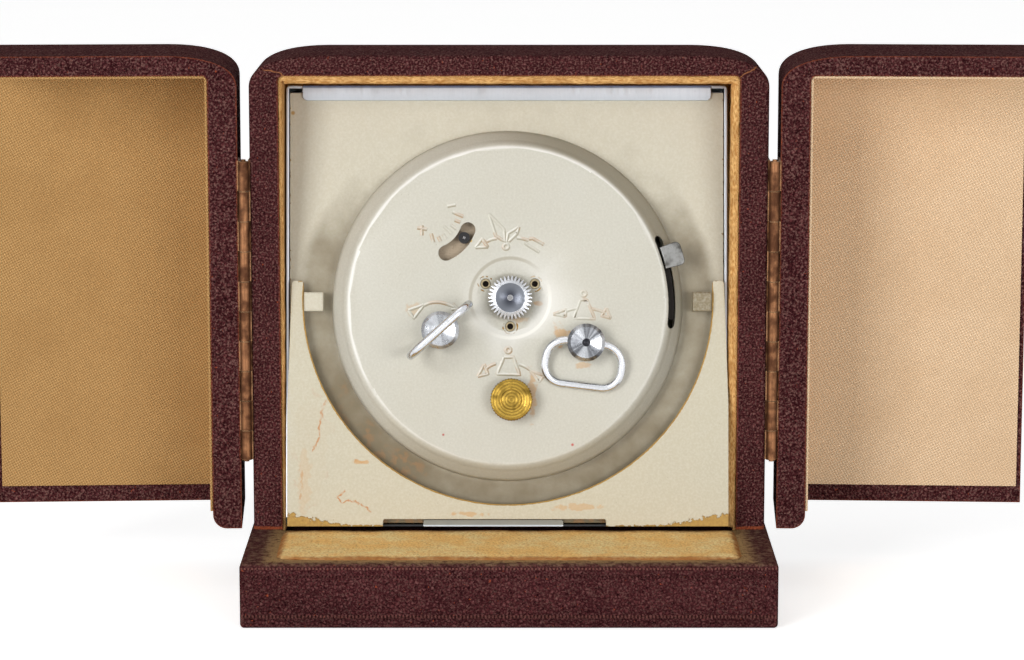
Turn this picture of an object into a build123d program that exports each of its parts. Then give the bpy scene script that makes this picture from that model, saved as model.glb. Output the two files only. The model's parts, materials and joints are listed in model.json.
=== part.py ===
from build123d import *
import math
import os

# Travel alarm clock: a square clock head leaning in a leather case with two folding doors.
# Millimetres, +Z up. The side with the winding keys faces -Y. The origin is under the middle of
# the plinth's widest span, on the surface that it stands on, in line with the frame's front face.

# Leather case: overall sizes
head_side_gap = 1.15
head_top_gap = 2.7
head_back_gap = 0.67
side_wall = 4.95
top_wall = 3.4
back_lip_depth = 2.6
back_lip_width = 7.5
window_radius = 4.0
corner_across = 13.5
corner_drop = 5.6
leather_round = 0.8
mouth_radius = 0.9

# Plinth and its pad
plinth_height = 10.9
plinth_side_step = 0.55
plinth_front_reach = 26.1
plinth_corner_radius = 1.4
plinth_edge_round = 0.7
well_depth = 0.75
well_front_margin = 1.6
pad_rise = 0.6
pad_front_margin = 3.0
pad_side_margin = 5.3
pad_back_gap = 0.2
pad_radius = 2.2
pad_edge_round = 0.3

# Linings
lining_thickness = 0.45
lining_set_back = 0.5

# Doors
door_open_angle = 177.0
door_gap = 0.3
door_floor_gap = 0.2
door_middle_gap = 0.3
panel_thickness = 2.6
panel_edge_round = 1.6
wall_foot_round = 2.4
door_lining_inset = 0.3
door_lining_bottom = 3.0
door_lining_edge_gap = 0.8

# Piano hinges
knuckle_count = 10
hinge_foot_margin = 12.3
hinge_head_margin = 12.2
hinge_axis_out = 1.0
barrel_radius = 0.9
pin_radius = 0.42
pin_clearance = 0.05
knuckle_gap = 0.12
leaf_thickness = 0.4
leaf_seat_depth = 0.1
leaf_width = 5.0
leaf_relief = 0.85
pin_head_rise = 0.25

# Where the clock head stands in the case
clock_lean_angle = 10.0
clock_side_shift = -0.4
clock_forward = 2.1
clock_lift = 0.35

# Clock head: nickel case
head_size = 75.8
head_depth = 8.4
case_sheet = 0.5
case_corner = 0.7
bezel_width = 4.6
bezel_corner = 4.0
lip_end_margin = 2.8
plate_corner_gap = 0.6
lip_height = 2.6
lip_sheet = 0.45
lip_corner = 0.9
foot_lip_left = -14.3
foot_lip_right = 9.7
foot_lip_height = 1.3

# Back plate and drum cover
plate_recess = 0.15
plate_sheet = 0.7
plate_clearance = 0.15
drum_x = 0.1
drum_side_margin = 7.8
drum_depth = 5.15
drum_sheet = 0.5
drum_shoulder = 3.1
drum_draft = 0.35
drum_flange_width = 1.6
dish_radius = 6.7
dish_depth = 0.5
dish_rim = 0.6

# U shaped strut
strut_sheet = 0.8
strut_gap = 1.35
strut_x = 0.2
strut_side_margin = 0.15
strut_tip_taper = 0.75
strut_taper_drop = 16.9
strut_bottom = 0.15
strut_tip_rise = 4.3
strut_cut_gap = 4.9
strut_cut_rise = 1.0
strut_tip_round = 0.5
strut_notch_left = -21.2
strut_notch_right = 17.0
strut_notch_height = 1.25
strut_notch_round = 0.4
strut_flange_depth = 0.9
strut_flange_sheet = 0.6
strut_axis_rise = 0.7
strut_axis_front = 1.45
ear_sheet = 0.7
ear_inset = 0.1
ear_half_height = 1.0
ear_reach = 0.7
ear_bore_depth = 1.0
lug_size = 3.3
lug_depth = 3.1
lug_gap = 0.12
lug_round = 0.25
lug_pin_radius = 0.5
lug_pin_length = 1.0

# Centre arbor, hand setting knob and dish posts
knob_radius = 3.75
knob_height = 3.3
knob_cup_radius = 2.5
knob_cup_depth = 0.8
knob_teeth = 34
knob_tooth_depth = 0.9
knob_crest_share = 0.22
knob_cone = 0.7
knob_rim_round = 0.25
knob_lift = 0.25
post_circle = 4.85
post_radius = 0.8
post_bore = 0.55
post_bore_depth = 1.4
post_hole_radius = 0.9
post_sunk = 0.15
post_turn_shares = (1 / 12, 5 / 12, 9 / 12)

# Alarm setting knob
alarm_knob_radius = 3.6
alarm_knob_height = 2.9
alarm_knob_teeth = 44
alarm_knob_tooth_depth = 0.2
alarm_knob_crest_share = 0.4
alarm_knob_dome = 0.3

# Winding keys: hub and folding ring
time_key_angle = 41.7
alarm_key_angle = -7.0
hub_radius = 3.2
hub_height = 3.3
hub_cone = 0.55
hub_bore = 0.6
hub_bore_depth = 0.2
hub_lift = 0.25
ring_wire_radius = 0.62
ring_clearance = 0.08
ring_half_width = 7.15
ring_drop = 8.15
ring_shoulder_radius = 3.5
ring_corner_radius = 3.2
ring_rest_angle = 10.0
ring_stub = 1.1
ring_axis_rise = 1.75
key_arbor_radius = 1.0
arbor_hole_clearance = 0.3

# Regulator and its slot
regulator_radius = 6.8
regulator_half_slot = 1.3
regulator_start_angle = -78.0
regulator_end_angle = -9.0
regulator_rest_angle = -32.3
regulator_arm_half = 0.7
regulator_sheet = 0.35
regulator_hub_radius = 2.0
regulator_boss_radius = 1.1
regulator_boss_height = 0.75
regulator_pin_radius = 0.98
regulator_pin_top = 0.25

# Alarm shut off lever and its slot
stop_slot_edge_margin = 0.85
stop_slot_width = 1.75
stop_start_angle = -8.0
stop_end_angle = 25.0
stop_rest_angle = 17.0
stop_shank_half_angle = 2.4
stop_band_half_angle = 22.0
stop_knob_half_angle = 3.9
stop_knob_overhang = 1.1
stop_knob_sheet = 1.1
stop_knob_round = 0.9
stop_band_width = 2.4
stop_band_margin = 1.5
stop_band_sheet = 0.35
stop_shank_gap = 0.25

# Movement plates and pillars
movement_side_gap = 4.1
rear_plate_front = -2.6
rear_plate_sheet = 0.8
front_plate_front = 3.0
front_plate_sheet = 0.8
pillar_edge_margin = 2.5
pillar_radius = 1.2
pillar_turn_shares = (0.172, 0.458, 0.633, 0.867)
plate_hole_clearance = 0.1
mount_ear_beyond = 1.9
mount_ear_half = 2.0

# Places of the arbors: shares of the movement's radius, to the right of its middle and above it
centre_shares = (0.019, 0.05)
time_key_shares = (-0.438, -0.162)
alarm_key_shares = (0.515, -0.242)
alarm_shares = (0.027, -0.615)
third_shares = (0.288, 0.281)
fourth_shares = (0.135, 0.488)
escape_shares = (-0.081, 0.604)
pallet_shares = (-0.258, 0.681)
balance_shares = (-0.504, 0.585)
hammer_shares = (0.65, 0.485)

# Barrels and train
mesh_gap = 0.5
barrel_teeth_rim = 2.3
alarm_barrel_radius = 8.0
barrel_height = 3.2
barrel_end_gap = 0.7
barrel_rim_sheet = 0.5
arbor_radius = 0.5
pinion_radius = 1.1
wheel_sheet = 0.35
wheel_end_gap = 0.25
escape_wheel_radius = 3.2
escape_teeth = 15
escape_tooth_depth = 0.7
pallet_arm_half = 0.5
pallet_reach = 1.1
pallet_fork = 4.2
balance_radius = 5.2
balance_rim = 0.8
balance_rim_sheet = 0.7
balance_arm_half = 0.45
balance_staff_radius = 0.35
balance_rise = 0.9
hairspring_outer = 2.9
hairspring_inner = 0.9
hairspring_turns = 5
hairspring_strip = 0.12
hairspring_height = 0.3
hairspring_rise = 0.9
hammer_arm = 6.5
hammer_arm_half = 0.6
hammer_head_radius = 1.8
hammer_head_height = 2.4
hammer_angle = 150.0

# Dial side
dial_front = 5.4
dial_sheet = 0.3
dial_margin = 0.4
dial_hole_radius = 1.7
glass_front = 7.0
glass_clearance = 0.2
minute_hand_length = 25.0
hour_hand_length = 17.0
alarm_hand_length = 12.5
hand_tail = 5.0
hand_root_half = 1.15
hand_tip_half = 0.25
hand_sheet = 0.18
minute_hand_front = 6.45
hour_hand_front = 6.05
alarm_hand_front = 5.85
hand_boss_radius = 1.9
hour_pipe_inner = 0.62
hour_pipe_outer = 0.92
alarm_pipe_inner = 1.02
alarm_pipe_outer = 1.35
motion_level_one = 3.95
motion_level_two = 4.35
motion_level_three = 4.8
motion_sheet = 0.25
cannon_radius = 1.26
minute_wheel_radius = 4.54
minute_pinion_radius = 1.33
motion_gap = 0.2
minute_wheel_angle = 120.0
alarm_pinion_radius = 4.0
minute_hand_angle = 60.0
hour_hand_angle = 305.0
alarm_hand_angle = 200.0

# One reach for every cut to run past the faces that it opens
overrun = 1.0

quarter_turn = 90.0
full_turn = 4 * quarter_turn
lean_sine = math.sin(math.radians(clock_lean_angle))
lean_cosine = math.cos(math.radians(clock_lean_angle))

# Clock head
head_half = head_size / 2
lip_half_length = head_half - lip_end_margin
case_inner_half = head_half - case_sheet
drum_z = head_half
drum_radius = head_half - drum_side_margin
drum_face = plate_recess - drum_depth
strut_half_width = head_half - strut_side_margin
strut_tip_half_width = strut_half_width - strut_tip_taper
strut_taper_height = drum_z - strut_taper_drop
strut_tip_height = drum_z + strut_tip_rise
strut_cut_height = drum_z + strut_cut_rise
strut_cut_radius = drum_radius + strut_cut_gap
strut_axis_height = drum_z + strut_axis_rise
stop_slot_outer = drum_radius - stop_slot_edge_margin
stop_slot_inner = stop_slot_outer - stop_slot_width
stop_shank_inner = stop_slot_inner + stop_shank_gap
stop_shank_outer = stop_slot_outer - stop_shank_gap
stop_knob_outer = drum_radius + stop_knob_overhang
stop_band_outer = drum_radius - stop_band_margin
stop_band_inner = stop_band_outer - stop_band_width

# Movement
movement_radius = drum_radius - movement_side_gap
mount_ear_length = movement_side_gap + mount_ear_beyond
pillar_circle = movement_radius - pillar_edge_margin
rear_plate_back = rear_plate_front + rear_plate_sheet


def arbor_place(shares):
    """X and Z of an arbor from its shares of the movement's radius."""
    return drum_x + shares[0] * movement_radius, drum_z + shares[1] * movement_radius


def apart(first, second):
    """Distance between two arbors given by their shares."""
    return movement_radius * math.dist(first, second)


centre_x, centre_z = arbor_place(centre_shares)
time_key_x, time_key_z = arbor_place(time_key_shares)
alarm_key_x, alarm_key_z = arbor_place(alarm_key_shares)
alarm_x, alarm_z = arbor_place(alarm_shares)
third_x, third_z = arbor_place(third_shares)
fourth_x, fourth_z = arbor_place(fourth_shares)
escape_x, escape_z = arbor_place(escape_shares)
pallet_x, pallet_z = arbor_place(pallet_shares)
balance_x, balance_z = arbor_place(balance_shares)
hammer_x, hammer_z = arbor_place(hammer_shares)
escape_pinion_radius = (pinion_radius + arbor_radius) / 2
time_barrel_teeth_radius = apart(time_key_shares, centre_shares) - pinion_radius - mesh_gap
time_barrel_radius = time_barrel_teeth_radius - barrel_teeth_rim
centre_wheel_radius = apart(centre_shares, third_shares) - pinion_radius - mesh_gap
third_wheel_radius = apart(third_shares, fourth_shares) - pinion_radius - mesh_gap
fourth_wheel_radius = apart(fourth_shares, escape_shares) - escape_pinion_radius - mesh_gap
alarm_wheel_radius = apart(centre_shares, alarm_shares) - alarm_pinion_radius - mesh_gap
minute_wheel_distance = cannon_radius + minute_wheel_radius + motion_gap
hour_wheel_radius = minute_wheel_distance - minute_pinion_radius - motion_gap

# Case and doors
pad_top = plinth_height + pad_rise
pad_back = -clock_forward - pad_back_gap
well_floor = plinth_height - well_depth
well_front = -clock_forward + well_front_margin
frame_width = head_size + 2 * (head_side_gap + side_wall)
half_width = frame_width / 2
recess_half = half_width - side_wall
recess_top = pad_top + clock_lift + head_size * lean_cosine + head_top_gap
frame_top = recess_top + top_wall
recess_depth = head_size * lean_sine + head_depth * lean_cosine - clock_forward + head_back_gap
frame_depth = recess_depth + back_lip_depth
door_floor = plinth_height + door_floor_gap
hinge_axis_x = half_width + hinge_axis_out
hinge_axis_y = -door_gap / 2
hinge_bottom = plinth_height + hinge_foot_margin
hinge_length = frame_top - corner_drop - hinge_head_margin - hinge_bottom

os.makedirs("parts", exist_ok=True)


def block(x0, x1, y0, y1, z0, z1):
    """A box between two corners."""
    middle = Pos((x0 + x1) / 2, (y0 + y1) / 2, (z0 + z1) / 2)
    return middle * Box(x1 - x0, y1 - y0, z1 - z0)


def slab(sketch, front, back):
    """A sketch of X and Z extruded from one depth to another along Y."""
    return Pos(0, back, 0) * extrude(Plane.XZ * sketch, back - front)


def disc(x, z, radius, front, back):
    """A round solid about an axis along Y."""
    return Pos(x, (front + back) / 2, z) * Rot(90, 0, 0) * Cylinder(radius, back - front)


def tube(x, z, outer, inner, front, back):
    """A round sleeve about an axis along Y."""
    return disc(x, z, outer, front, back) - disc(x, z, inner, front - overrun, back + overrun)


def spun(profile, x, z):
    """A profile of radius and depth turned about an axis along Y."""
    turned = revolve(Plane.XY * profile, Axis.Y)
    return Pos(x, 0, z) * turned


def polar(x, z, radius, angle):
    """A point at an angle, in degrees, about a centre in X and Z."""
    turn = math.radians(angle)
    return x + radius * math.cos(turn), z + radius * math.sin(turn)


def sector(x, z, inner, outer, start, end, front, back):
    """A slab shaped as a band of a ring between two angles."""
    outside = CenterArc((x, z), outer, start, end - start)
    inside = CenterArc((x, z), inner, start, end - start)
    closing = [Line(outside @ 0, inside @ 0), Line(outside @ 1, inside @ 1)]
    return slab(make_face([outside, inside] + closing), front, back)


def bar(x, z, length, half, angle, front, back):
    """A flat arm that starts at a centre and points along an angle."""
    arm = block(0, length, front, back, -half, half)
    return Pos(x, 0, z) * Rot(0, -angle, 0) * arm


def leaning(shape):
    """Places a solid of the clock head, drawn upright from its lower edge, in the case."""
    seat = Pos(clock_side_shift, -clock_forward, pad_top + clock_lift)
    return seat * Rot(-clock_lean_angle, 0, 0) * shape


def save(name, solids):
    """Writes one node, of one solid or several separate ones."""
    if isinstance(solids, (list, tuple)):
        whole = Compound(children=[piece for item in solids for piece in item.solids()])
    else:
        whole = solids
    export_step(whole, f"parts/{name}.step")


def save_head(name, *solids):
    """Writes one node of the clock head."""
    save(name, [leaning(item) for item in solids])


def arched_outline(left, right, bottom, left_arch, right_arch):
    """The case's outline: upright sides and elliptical upper corners on the sides that have them."""
    spring = frame_top - corner_drop
    lines = [Line((left, bottom), (right, bottom))]
    if right_arch:
        lines.append(Line((right, bottom), (right, spring)))
        lines.append(EllipticalCenterArc(
            (right - corner_across, spring), corner_across, corner_drop,
            start_angle=0, arc_size=quarter_turn))
        top_right = right - corner_across
    else:
        lines.append(Line((right, bottom), (right, frame_top)))
        top_right = right
    top_left = left + corner_across if left_arch else left
    lines.append(Line((top_right, frame_top), (top_left, frame_top)))
    if left_arch:
        lines.append(EllipticalCenterArc(
            (left + corner_across, spring), corner_across, corner_drop,
            start_angle=quarter_turn, arc_size=quarter_turn))
        lines.append(Line((left, spring), (left, bottom)))
    else:
        lines.append(Line((left, frame_top), (left, bottom)))
    return make_face(lines)


# Central frame of the case, open at the front and with a window inside a lip at the back
def case_frame():
    body = slab(arched_outline(-half_width, half_width, plinth_height, True, True), 0, frame_depth)
    rims = body.faces().sort_by(Axis.Y)
    body = fillet(rims[0].outer_wire().edges().filter_by(lambda e: e.center().Z > frame_top / 2),
                  leather_round)
    rims = body.faces().sort_by(Axis.Y)
    body = fillet(rims[-1].outer_wire().edges().filter_by(lambda e: e.center().Z > frame_top / 2),
                  leather_round)
    recess = block(-recess_half, recess_half, -overrun, recess_depth,
                   plinth_height - overrun, recess_top)
    recess = fillet(recess.edges().filter_by(Axis.Y).group_by(Axis.Z)[-1], mouth_radius)
    window = block(-recess_half + back_lip_width, recess_half - back_lip_width,
                   recess_depth - overrun, frame_depth + overrun,
                   plinth_height + back_lip_width, recess_top - back_lip_width)
    window = fillet(window.edges().filter_by(Axis.Y), window_radius)
    body = body - recess - window
    for side in (-1, 1):
        inner = side * (half_width - leaf_seat_depth)
        outer = side * (half_width + overrun)
        seat = block(min(inner, outer), max(inner, outer), -overrun, leaf_width,
                     hinge_bottom, hinge_bottom + hinge_length)
        body = body - seat
    return body


def plinth():
    half = half_width + plinth_side_step
    body = block(-half, half, -plinth_front_reach, frame_depth, 0, plinth_height)
    body = fillet(body.edges().filter_by(Axis.Y), plinth_corner_radius / 2)
    front = body.faces().sort_by(Axis.Y)[0]
    body = fillet(front.edges(), plinth_edge_round)
    well = block(-recess_half, recess_half, well_front, recess_depth,
                 well_floor, plinth_height + overrun)
    return body - well


def frame_lining():
    """Thin lining glued to the recess: two sides, ceiling and the back lip's face."""
    front = lining_set_back
    shell = block(-recess_half, recess_half, front, recess_depth, well_floor, recess_top)
    shell = fillet(shell.edges().filter_by(Axis.Y).group_by(Axis.Z)[-1], mouth_radius)
    room = block(-recess_half + lining_thickness, recess_half - lining_thickness,
                 front - overrun, recess_depth - lining_thickness,
                 well_floor - overrun, recess_top - lining_thickness)
    window = block(-recess_half + back_lip_width, recess_half - back_lip_width,
                   recess_depth - overrun, frame_depth + overrun,
                   plinth_height + back_lip_width, recess_top - back_lip_width)
    window = fillet(window.edges().filter_by(Axis.Y), window_radius)
    return shell - room - window


def plinth_pad():
    half = half_width - pad_side_margin
    front = -plinth_front_reach + pad_front_margin
    body = block(-half, half, front, pad_back, plinth_height, pad_top)
    body = fillet(body.edges().filter_by(Axis.Z).group_by(Axis.Y)[0], pad_radius)
    upper = body.faces().sort_by(Axis.Z)[-1]
    return fillet(upper.edges(), pad_edge_round)


# Doors, drawn closed on the left side, then mirrored and swung open
def door_shell():
    right = -door_middle_gap / 2
    body = slab(arched_outline(-half_width, right, door_floor, True, False),
                -plinth_front_reach, -door_gap)
    panel = body.faces().sort_by(Axis.Y)[0]
    body = fillet(panel.edges().filter_by(lambda e: e.center().X < right - door_middle_gap),
                  panel_edge_round)
    tray = block(-recess_half, right + overrun, -plinth_front_reach + panel_thickness,
                 overrun, door_floor - overrun, recess_top)
    tray = fillet(tray.edges().filter_by(Axis.Y).group_by(Axis.Z)[-1].group_by(Axis.X)[0],
                  mouth_radius)
    body = body - tray
    foot = body.edges().filter_by(Axis.Y).group_by(Axis.Z)[0].sort_by(Axis.X)
    foot = [edge for edge in foot if edge.center().X > -half_width + side_wall / 2]
    body = fillet(foot[:1], wall_foot_round)
    seat = block(-half_width - overrun, -half_width + leaf_seat_depth, -door_gap - leaf_width,
                 overrun, hinge_bottom, hinge_bottom + hinge_length)
    return body - seat


def door_lining():
    right = -door_middle_gap / 2 - door_lining_edge_gap
    back = -plinth_front_reach + panel_thickness
    bottom = door_floor + door_lining_bottom
    shell = block(-recess_half, right, back, -door_gap - door_lining_inset, bottom, recess_top)
    shell = fillet(shell.edges().filter_by(Axis.Y).group_by(Axis.Z)[-1].group_by(Axis.X)[0],
                   mouth_radius)
    room = block(-recess_half + lining_thickness, right + overrun, back + lining_thickness,
                 overrun, bottom - overrun, recess_top - lining_thickness)
    return shell - room


def knuckle_spans(first):
    """The heights of every second knuckle, from the first or the second one up."""
    pitch = hinge_length / knuckle_count
    for index in range(first, knuckle_count, 2):
        low = hinge_bottom + index * pitch
        yield low + knuckle_gap / 2, low + pitch - knuckle_gap / 2


def hinge_leaf(first, into_frame):
    """A leaf on the left side: its plate and its knuckles about the pin."""
    inner = -half_width + leaf_seat_depth
    outer = inner - leaf_thickness
    top = hinge_bottom + hinge_length
    if into_frame:
        plate_near, plate_far = hinge_axis_y + leaf_relief, leaf_width
    else:
        plate_near, plate_far = hinge_axis_y - leaf_relief, -door_gap - leaf_width
    low_y, high_y = min(plate_near, plate_far), max(plate_near, plate_far)
    leaf = block(outer, inner, low_y, high_y, hinge_bottom, top)
    for low, high in knuckle_spans(first):
        near = min(plate_near, hinge_axis_y)
        far = max(plate_near, hinge_axis_y)
        finger = block(outer, inner, near, far, low, high)
        barrel = Pos(-hinge_axis_x, hinge_axis_y, (low + high) / 2) * Cylinder(barrel_radius, high - low)
        leaf = leaf + finger + barrel
    bore = Pos(-hinge_axis_x, hinge_axis_y, (hinge_bottom + top) / 2)
    return leaf - bore * Cylinder(pin_radius + pin_clearance, hinge_length + overrun)


def hinge_pin():
    length = hinge_length + 2 * pin_head_rise
    middle = hinge_bottom + hinge_length / 2
    return Pos(-hinge_axis_x, hinge_axis_y, middle) * Cylinder(pin_radius, length)


def opened(shape, side):
    """Turns a closed left door piece to its open place, and mirrors it for the right side."""
    axis = Pos(-hinge_axis_x, hinge_axis_y, 0)
    swung = axis * Rot(0, 0, -door_open_angle) * axis.inverse() * shape
    return swung if side < 0 else mirror(swung, Plane.YZ)


def on_side(shape, side):
    return shape if side < 0 else mirror(shape, Plane.YZ)


# Clock head: its nickel case, a square sheet box with a bezel and two folded lips
def nickel_case():
    body = block(-head_half, head_half, 0, head_depth, 0, head_size)
    body = fillet(body.edges().filter_by(Axis.Y), case_corner)
    room = block(-case_inner_half, case_inner_half, -overrun, head_depth - case_sheet,
                 case_sheet, head_size - case_sheet)
    opening = block(-head_half + bezel_width, head_half - bezel_width, -overrun,
                    head_depth + overrun, bezel_width, head_size - bezel_width)
    opening = fillet(opening.edges().filter_by(Axis.Y), bezel_corner)
    body = body - room - opening
    top_lip = block(-lip_half_length, lip_half_length, -lip_sheet, 0,
                    head_size - lip_height, head_size)
    top_lip = fillet(top_lip.edges().filter_by(Axis.Y).group_by(Axis.Z)[0], lip_corner)
    foot_lip = block(foot_lip_left, foot_lip_right, -lip_sheet, 0, 0, foot_lip_height)
    foot_lip = fillet(foot_lip.edges().filter_by(Axis.Y).group_by(Axis.Z)[-1], lip_sheet)
    return body + top_lip + foot_lip


def back_plate():
    half = case_inner_half - plate_clearance
    low = case_sheet + plate_clearance
    plate = block(-half, half, plate_recess, plate_recess + plate_sheet, low, head_size - low)
    for side in (-1, 1):
        corner = Pos(side * (lip_half_length + half), 0, head_size - low)
        plate = plate - corner * Box(2 * half, head_depth, 2 * plate_corner_gap)
    return plate - disc(drum_x, drum_z, drum_radius - drum_flange_width, -overrun, head_depth)


def drum_profile(inset):
    """Half section of the drum's outer skin, or of the room inside it when inset by the sheet."""
    radius = drum_radius - inset
    face = drum_face + inset
    shoulder = drum_shoulder - inset
    wall_end = face + shoulder
    upper = radius - drum_draft
    centre = (upper - shoulder, wall_end)
    base = plate_recess if inset == 0 else plate_recess + plate_sheet + overrun
    lines = [
        Line((0, base), (radius, base)),
        Line((radius, base), (upper, wall_end)),
        CenterArc(centre, shoulder, 0, -quarter_turn),
        Line((upper - shoulder, face), (0, face)),
        Line((0, face), (0, base)),
    ]
    return make_face(lines)


def slot_band(x, z, radius, half, start, end, front, back):
    """A curved slot with round ends."""
    band = sector(x, z, radius - half, radius + half, start, end, front, back)
    for angle in (start, end):
        px, pz = polar(x, z, radius, angle)
        band = band + disc(px, pz, half, front, back)
    return band


def drum_cover():
    body = spun(drum_profile(0), drum_x, drum_z)
    dish_back = drum_face + dish_depth + drum_sheet
    body = body - spun(drum_profile(drum_sheet), drum_x, drum_z)
    body = body + disc(centre_x, centre_z, dish_radius + dish_rim, drum_face + drum_sheet, dish_back)
    body = body - disc(centre_x, centre_z, dish_radius, drum_face - overrun, drum_face + dish_depth)
    through = (drum_face - overrun, dish_back + overrun)
    hole = knob_radius / 2 + arbor_hole_clearance
    body = body - disc(centre_x, centre_z, hole, *through)
    for share in post_turn_shares:
        px, pz = polar(centre_x, centre_z, post_circle, share * full_turn)
        body = body - disc(px, pz, post_hole_radius, *through)
    for x, z in ((time_key_x, time_key_z), (alarm_key_x, alarm_key_z), (alarm_x, alarm_z)):
        body = body - disc(x, z, key_arbor_radius + arbor_hole_clearance, *through)
    start = regulator_start_angle + math.degrees(regulator_half_slot / regulator_radius)
    end = regulator_end_angle - math.degrees(regulator_half_slot / regulator_radius)
    body = body - slot_band(balance_x, balance_z, regulator_radius, regulator_half_slot,
                            start, end, *through)
    middle = (stop_slot_inner + stop_slot_outer) / 2
    half = (stop_slot_outer - stop_slot_inner) / 2
    trim = math.degrees(half / middle)
    body = body - slot_band(drum_x, drum_z, middle, half, stop_start_angle + trim,
                            stop_end_angle - trim, drum_face - overrun,
                            drum_face + drum_shoulder + drum_sheet)
    return body


# Strut: a pressed sheet with a round cut out, two horns and pierced ears
def strut():
    front = plate_recess - strut_gap - strut_sheet
    back = front + strut_sheet
    outline = Polyline(
        (-strut_half_width, strut_bottom), (strut_half_width, strut_bottom),
        (strut_half_width, strut_taper_height), (strut_tip_half_width, strut_tip_height),
        (-strut_tip_half_width, strut_tip_height), (-strut_half_width, strut_taper_height),
        close=True)
    sheet = slab(make_face(outline), front, back)
    mouth = [
        CenterArc((0, strut_cut_height), strut_cut_radius, 2 * quarter_turn, 2 * quarter_turn),
        Line((strut_cut_radius, strut_cut_height), (strut_cut_radius, head_size)),
        Line((strut_cut_radius, head_size), (-strut_cut_radius, head_size)),
        Line((-strut_cut_radius, head_size), (-strut_cut_radius, strut_cut_height)),
    ]
    sheet = sheet - slab(make_face(mouth), front - overrun, back + overrun)
    tips = sheet.edges().filter_by(Axis.Y).group_by(Axis.Z)[-1]
    sheet = fillet(tips, strut_tip_round)
    notch = block(strut_notch_left - strut_x, strut_notch_right - strut_x, front - overrun,
                  back + overrun, strut_bottom - overrun, strut_bottom + strut_notch_height)
    notch = fillet(notch.edges().filter_by(Axis.Y).group_by(Axis.Z)[-1], strut_notch_round)
    sheet = sheet - notch
    for side in (-1, 1):
        rim_out = side * strut_half_width
        rim_in = side * (strut_half_width - strut_flange_sheet)
        flange = block(min(rim_out, rim_in), max(rim_out, rim_in), back,
                       back + strut_flange_depth, strut_bottom, strut_taper_height)
        ear_out = side * (strut_cut_radius + ear_inset + ear_sheet)
        ear_in = side * (strut_cut_radius + ear_inset)
        low = strut_axis_height - ear_half_height
        high = strut_axis_height + ear_half_height
        axis_y = plate_recess - strut_axis_front
        ear = block(min(ear_out, ear_in), max(ear_out, ear_in), axis_y - ear_reach,
                    axis_y + ear_reach, low, high)
        bore = Pos(side * strut_cut_radius, axis_y, strut_axis_height) * Rot(0, 90, 0)
        bore = bore * Cylinder(lug_pin_radius + pin_clearance, 2 * ear_bore_depth)
        sheet = sheet + flange + ear - bore
    return Pos(strut_x, 0, 0) * sheet


def strut_lug(side):
    """A square lug on the back plate with the pin that the strut's ear turns on."""
    near = strut_cut_radius - lug_gap
    low = strut_axis_height - lug_size / 2
    lug = block(near - lug_size, near, plate_recess - lug_depth, plate_recess, low, low + lug_size)
    face = lug.faces().sort_by(Axis.Y)[0]
    lug = fillet(face.edges(), lug_round)
    pin = Pos(near + lug_pin_length / 2, plate_recess - strut_axis_front, strut_axis_height)
    lug = lug + pin * Rot(0, 90, 0) * Cylinder(lug_pin_radius, lug_pin_length)
    lug = lug if side > 0 else mirror(lug, Plane.YZ)
    return Pos(strut_x, 0, 0) * lug


# Knobs and keys
def toothed_disc(radius, depth, teeth, crest_share, front, back):
    """A disc whose rim is cut into straight V grooves between narrow crests."""
    pitch = full_turn / teeth
    points = []
    for index in range(teeth):
        middle = index * pitch
        points.append(polar(0, 0, radius, middle - pitch * crest_share / 2))
        points.append(polar(0, 0, radius, middle + pitch * crest_share / 2))
        points.append(polar(0, 0, radius - depth, middle + pitch / 2))
    return slab(make_face(Polyline(*points, close=True)), front, back)


def coned_limit(radius, top_radius, cone, front, back):
    """The solid that bevels a knob's front from a top radius down to its rim."""
    reach = radius + overrun
    fall = cone * (reach - top_radius) / (radius - top_radius)
    profile = Polyline((0, back), (reach, back), (reach, front + fall), (top_radius, front),
                       (0, front), close=True)
    return spun(make_face(profile), 0, 0)


def set_knob():
    """A toothed knob, coned outside a dished face."""
    back = drum_face - knob_lift
    front = back - knob_height
    body = toothed_disc(knob_radius, knob_tooth_depth, knob_teeth, knob_crest_share, front, back)
    body = body & coned_limit(knob_radius, knob_cup_radius, knob_cone, front, back)
    reach = (knob_cup_radius ** 2 + knob_cup_depth ** 2) / (2 * knob_cup_depth)
    body = body - Pos(0, front + knob_cup_depth - reach, 0) * Sphere(reach)
    body = body - disc(0, 0, arbor_radius, front, back + overrun)
    return Pos(centre_x, 0, centre_z) * body


def alarm_knob():
    back = drum_face - knob_lift
    front = back - alarm_knob_height
    body = toothed_disc(alarm_knob_radius, alarm_knob_tooth_depth, alarm_knob_teeth,
                        alarm_knob_crest_share, front, back)
    body = body & coned_limit(alarm_knob_radius, alarm_knob_radius - knob_rim_round,
                              knob_rim_round, front, back)
    groove = tube(0, 0, alarm_knob_radius / 2, alarm_knob_radius / 3, front - overrun,
                  front + alarm_knob_dome)
    bore = disc(0, 0, arbor_radius, front + alarm_knob_height / 2, back + overrun)
    return Pos(alarm_x, 0, alarm_z) * (body - groove - bore)


def key_hub(x, z, turn, pierced):
    """A turned hub with a coned face, cross drilled for its ring, on the winding arbor."""
    back = drum_face - hub_lift
    front = back - hub_height
    profile = Polyline(
        (0, back), (hub_radius, back), (hub_radius, front + hub_cone),
        (hub_radius - hub_cone, front), (hub_bore, front + hub_cone), (0, front + hub_cone),
        close=True)
    hub = spun(make_face(profile), 0, 0)
    if pierced:
        hub = hub - disc(0, 0, hub_bore, front + hub_cone / 2, front + hub_cone + hub_bore_depth)
    cross = Pos(0, back - ring_axis_rise, 0) * Rot(0, 90, 0)
    hub = hub - cross * Cylinder(ring_wire_radius + ring_clearance, frame_width)
    arbor = disc(0, 0, key_arbor_radius, back, rear_plate_front + rear_plate_sheet + barrel_end_gap)
    return Pos(x, 0, z) * Rot(0, -turn, 0) * (hub + arbor)


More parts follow.
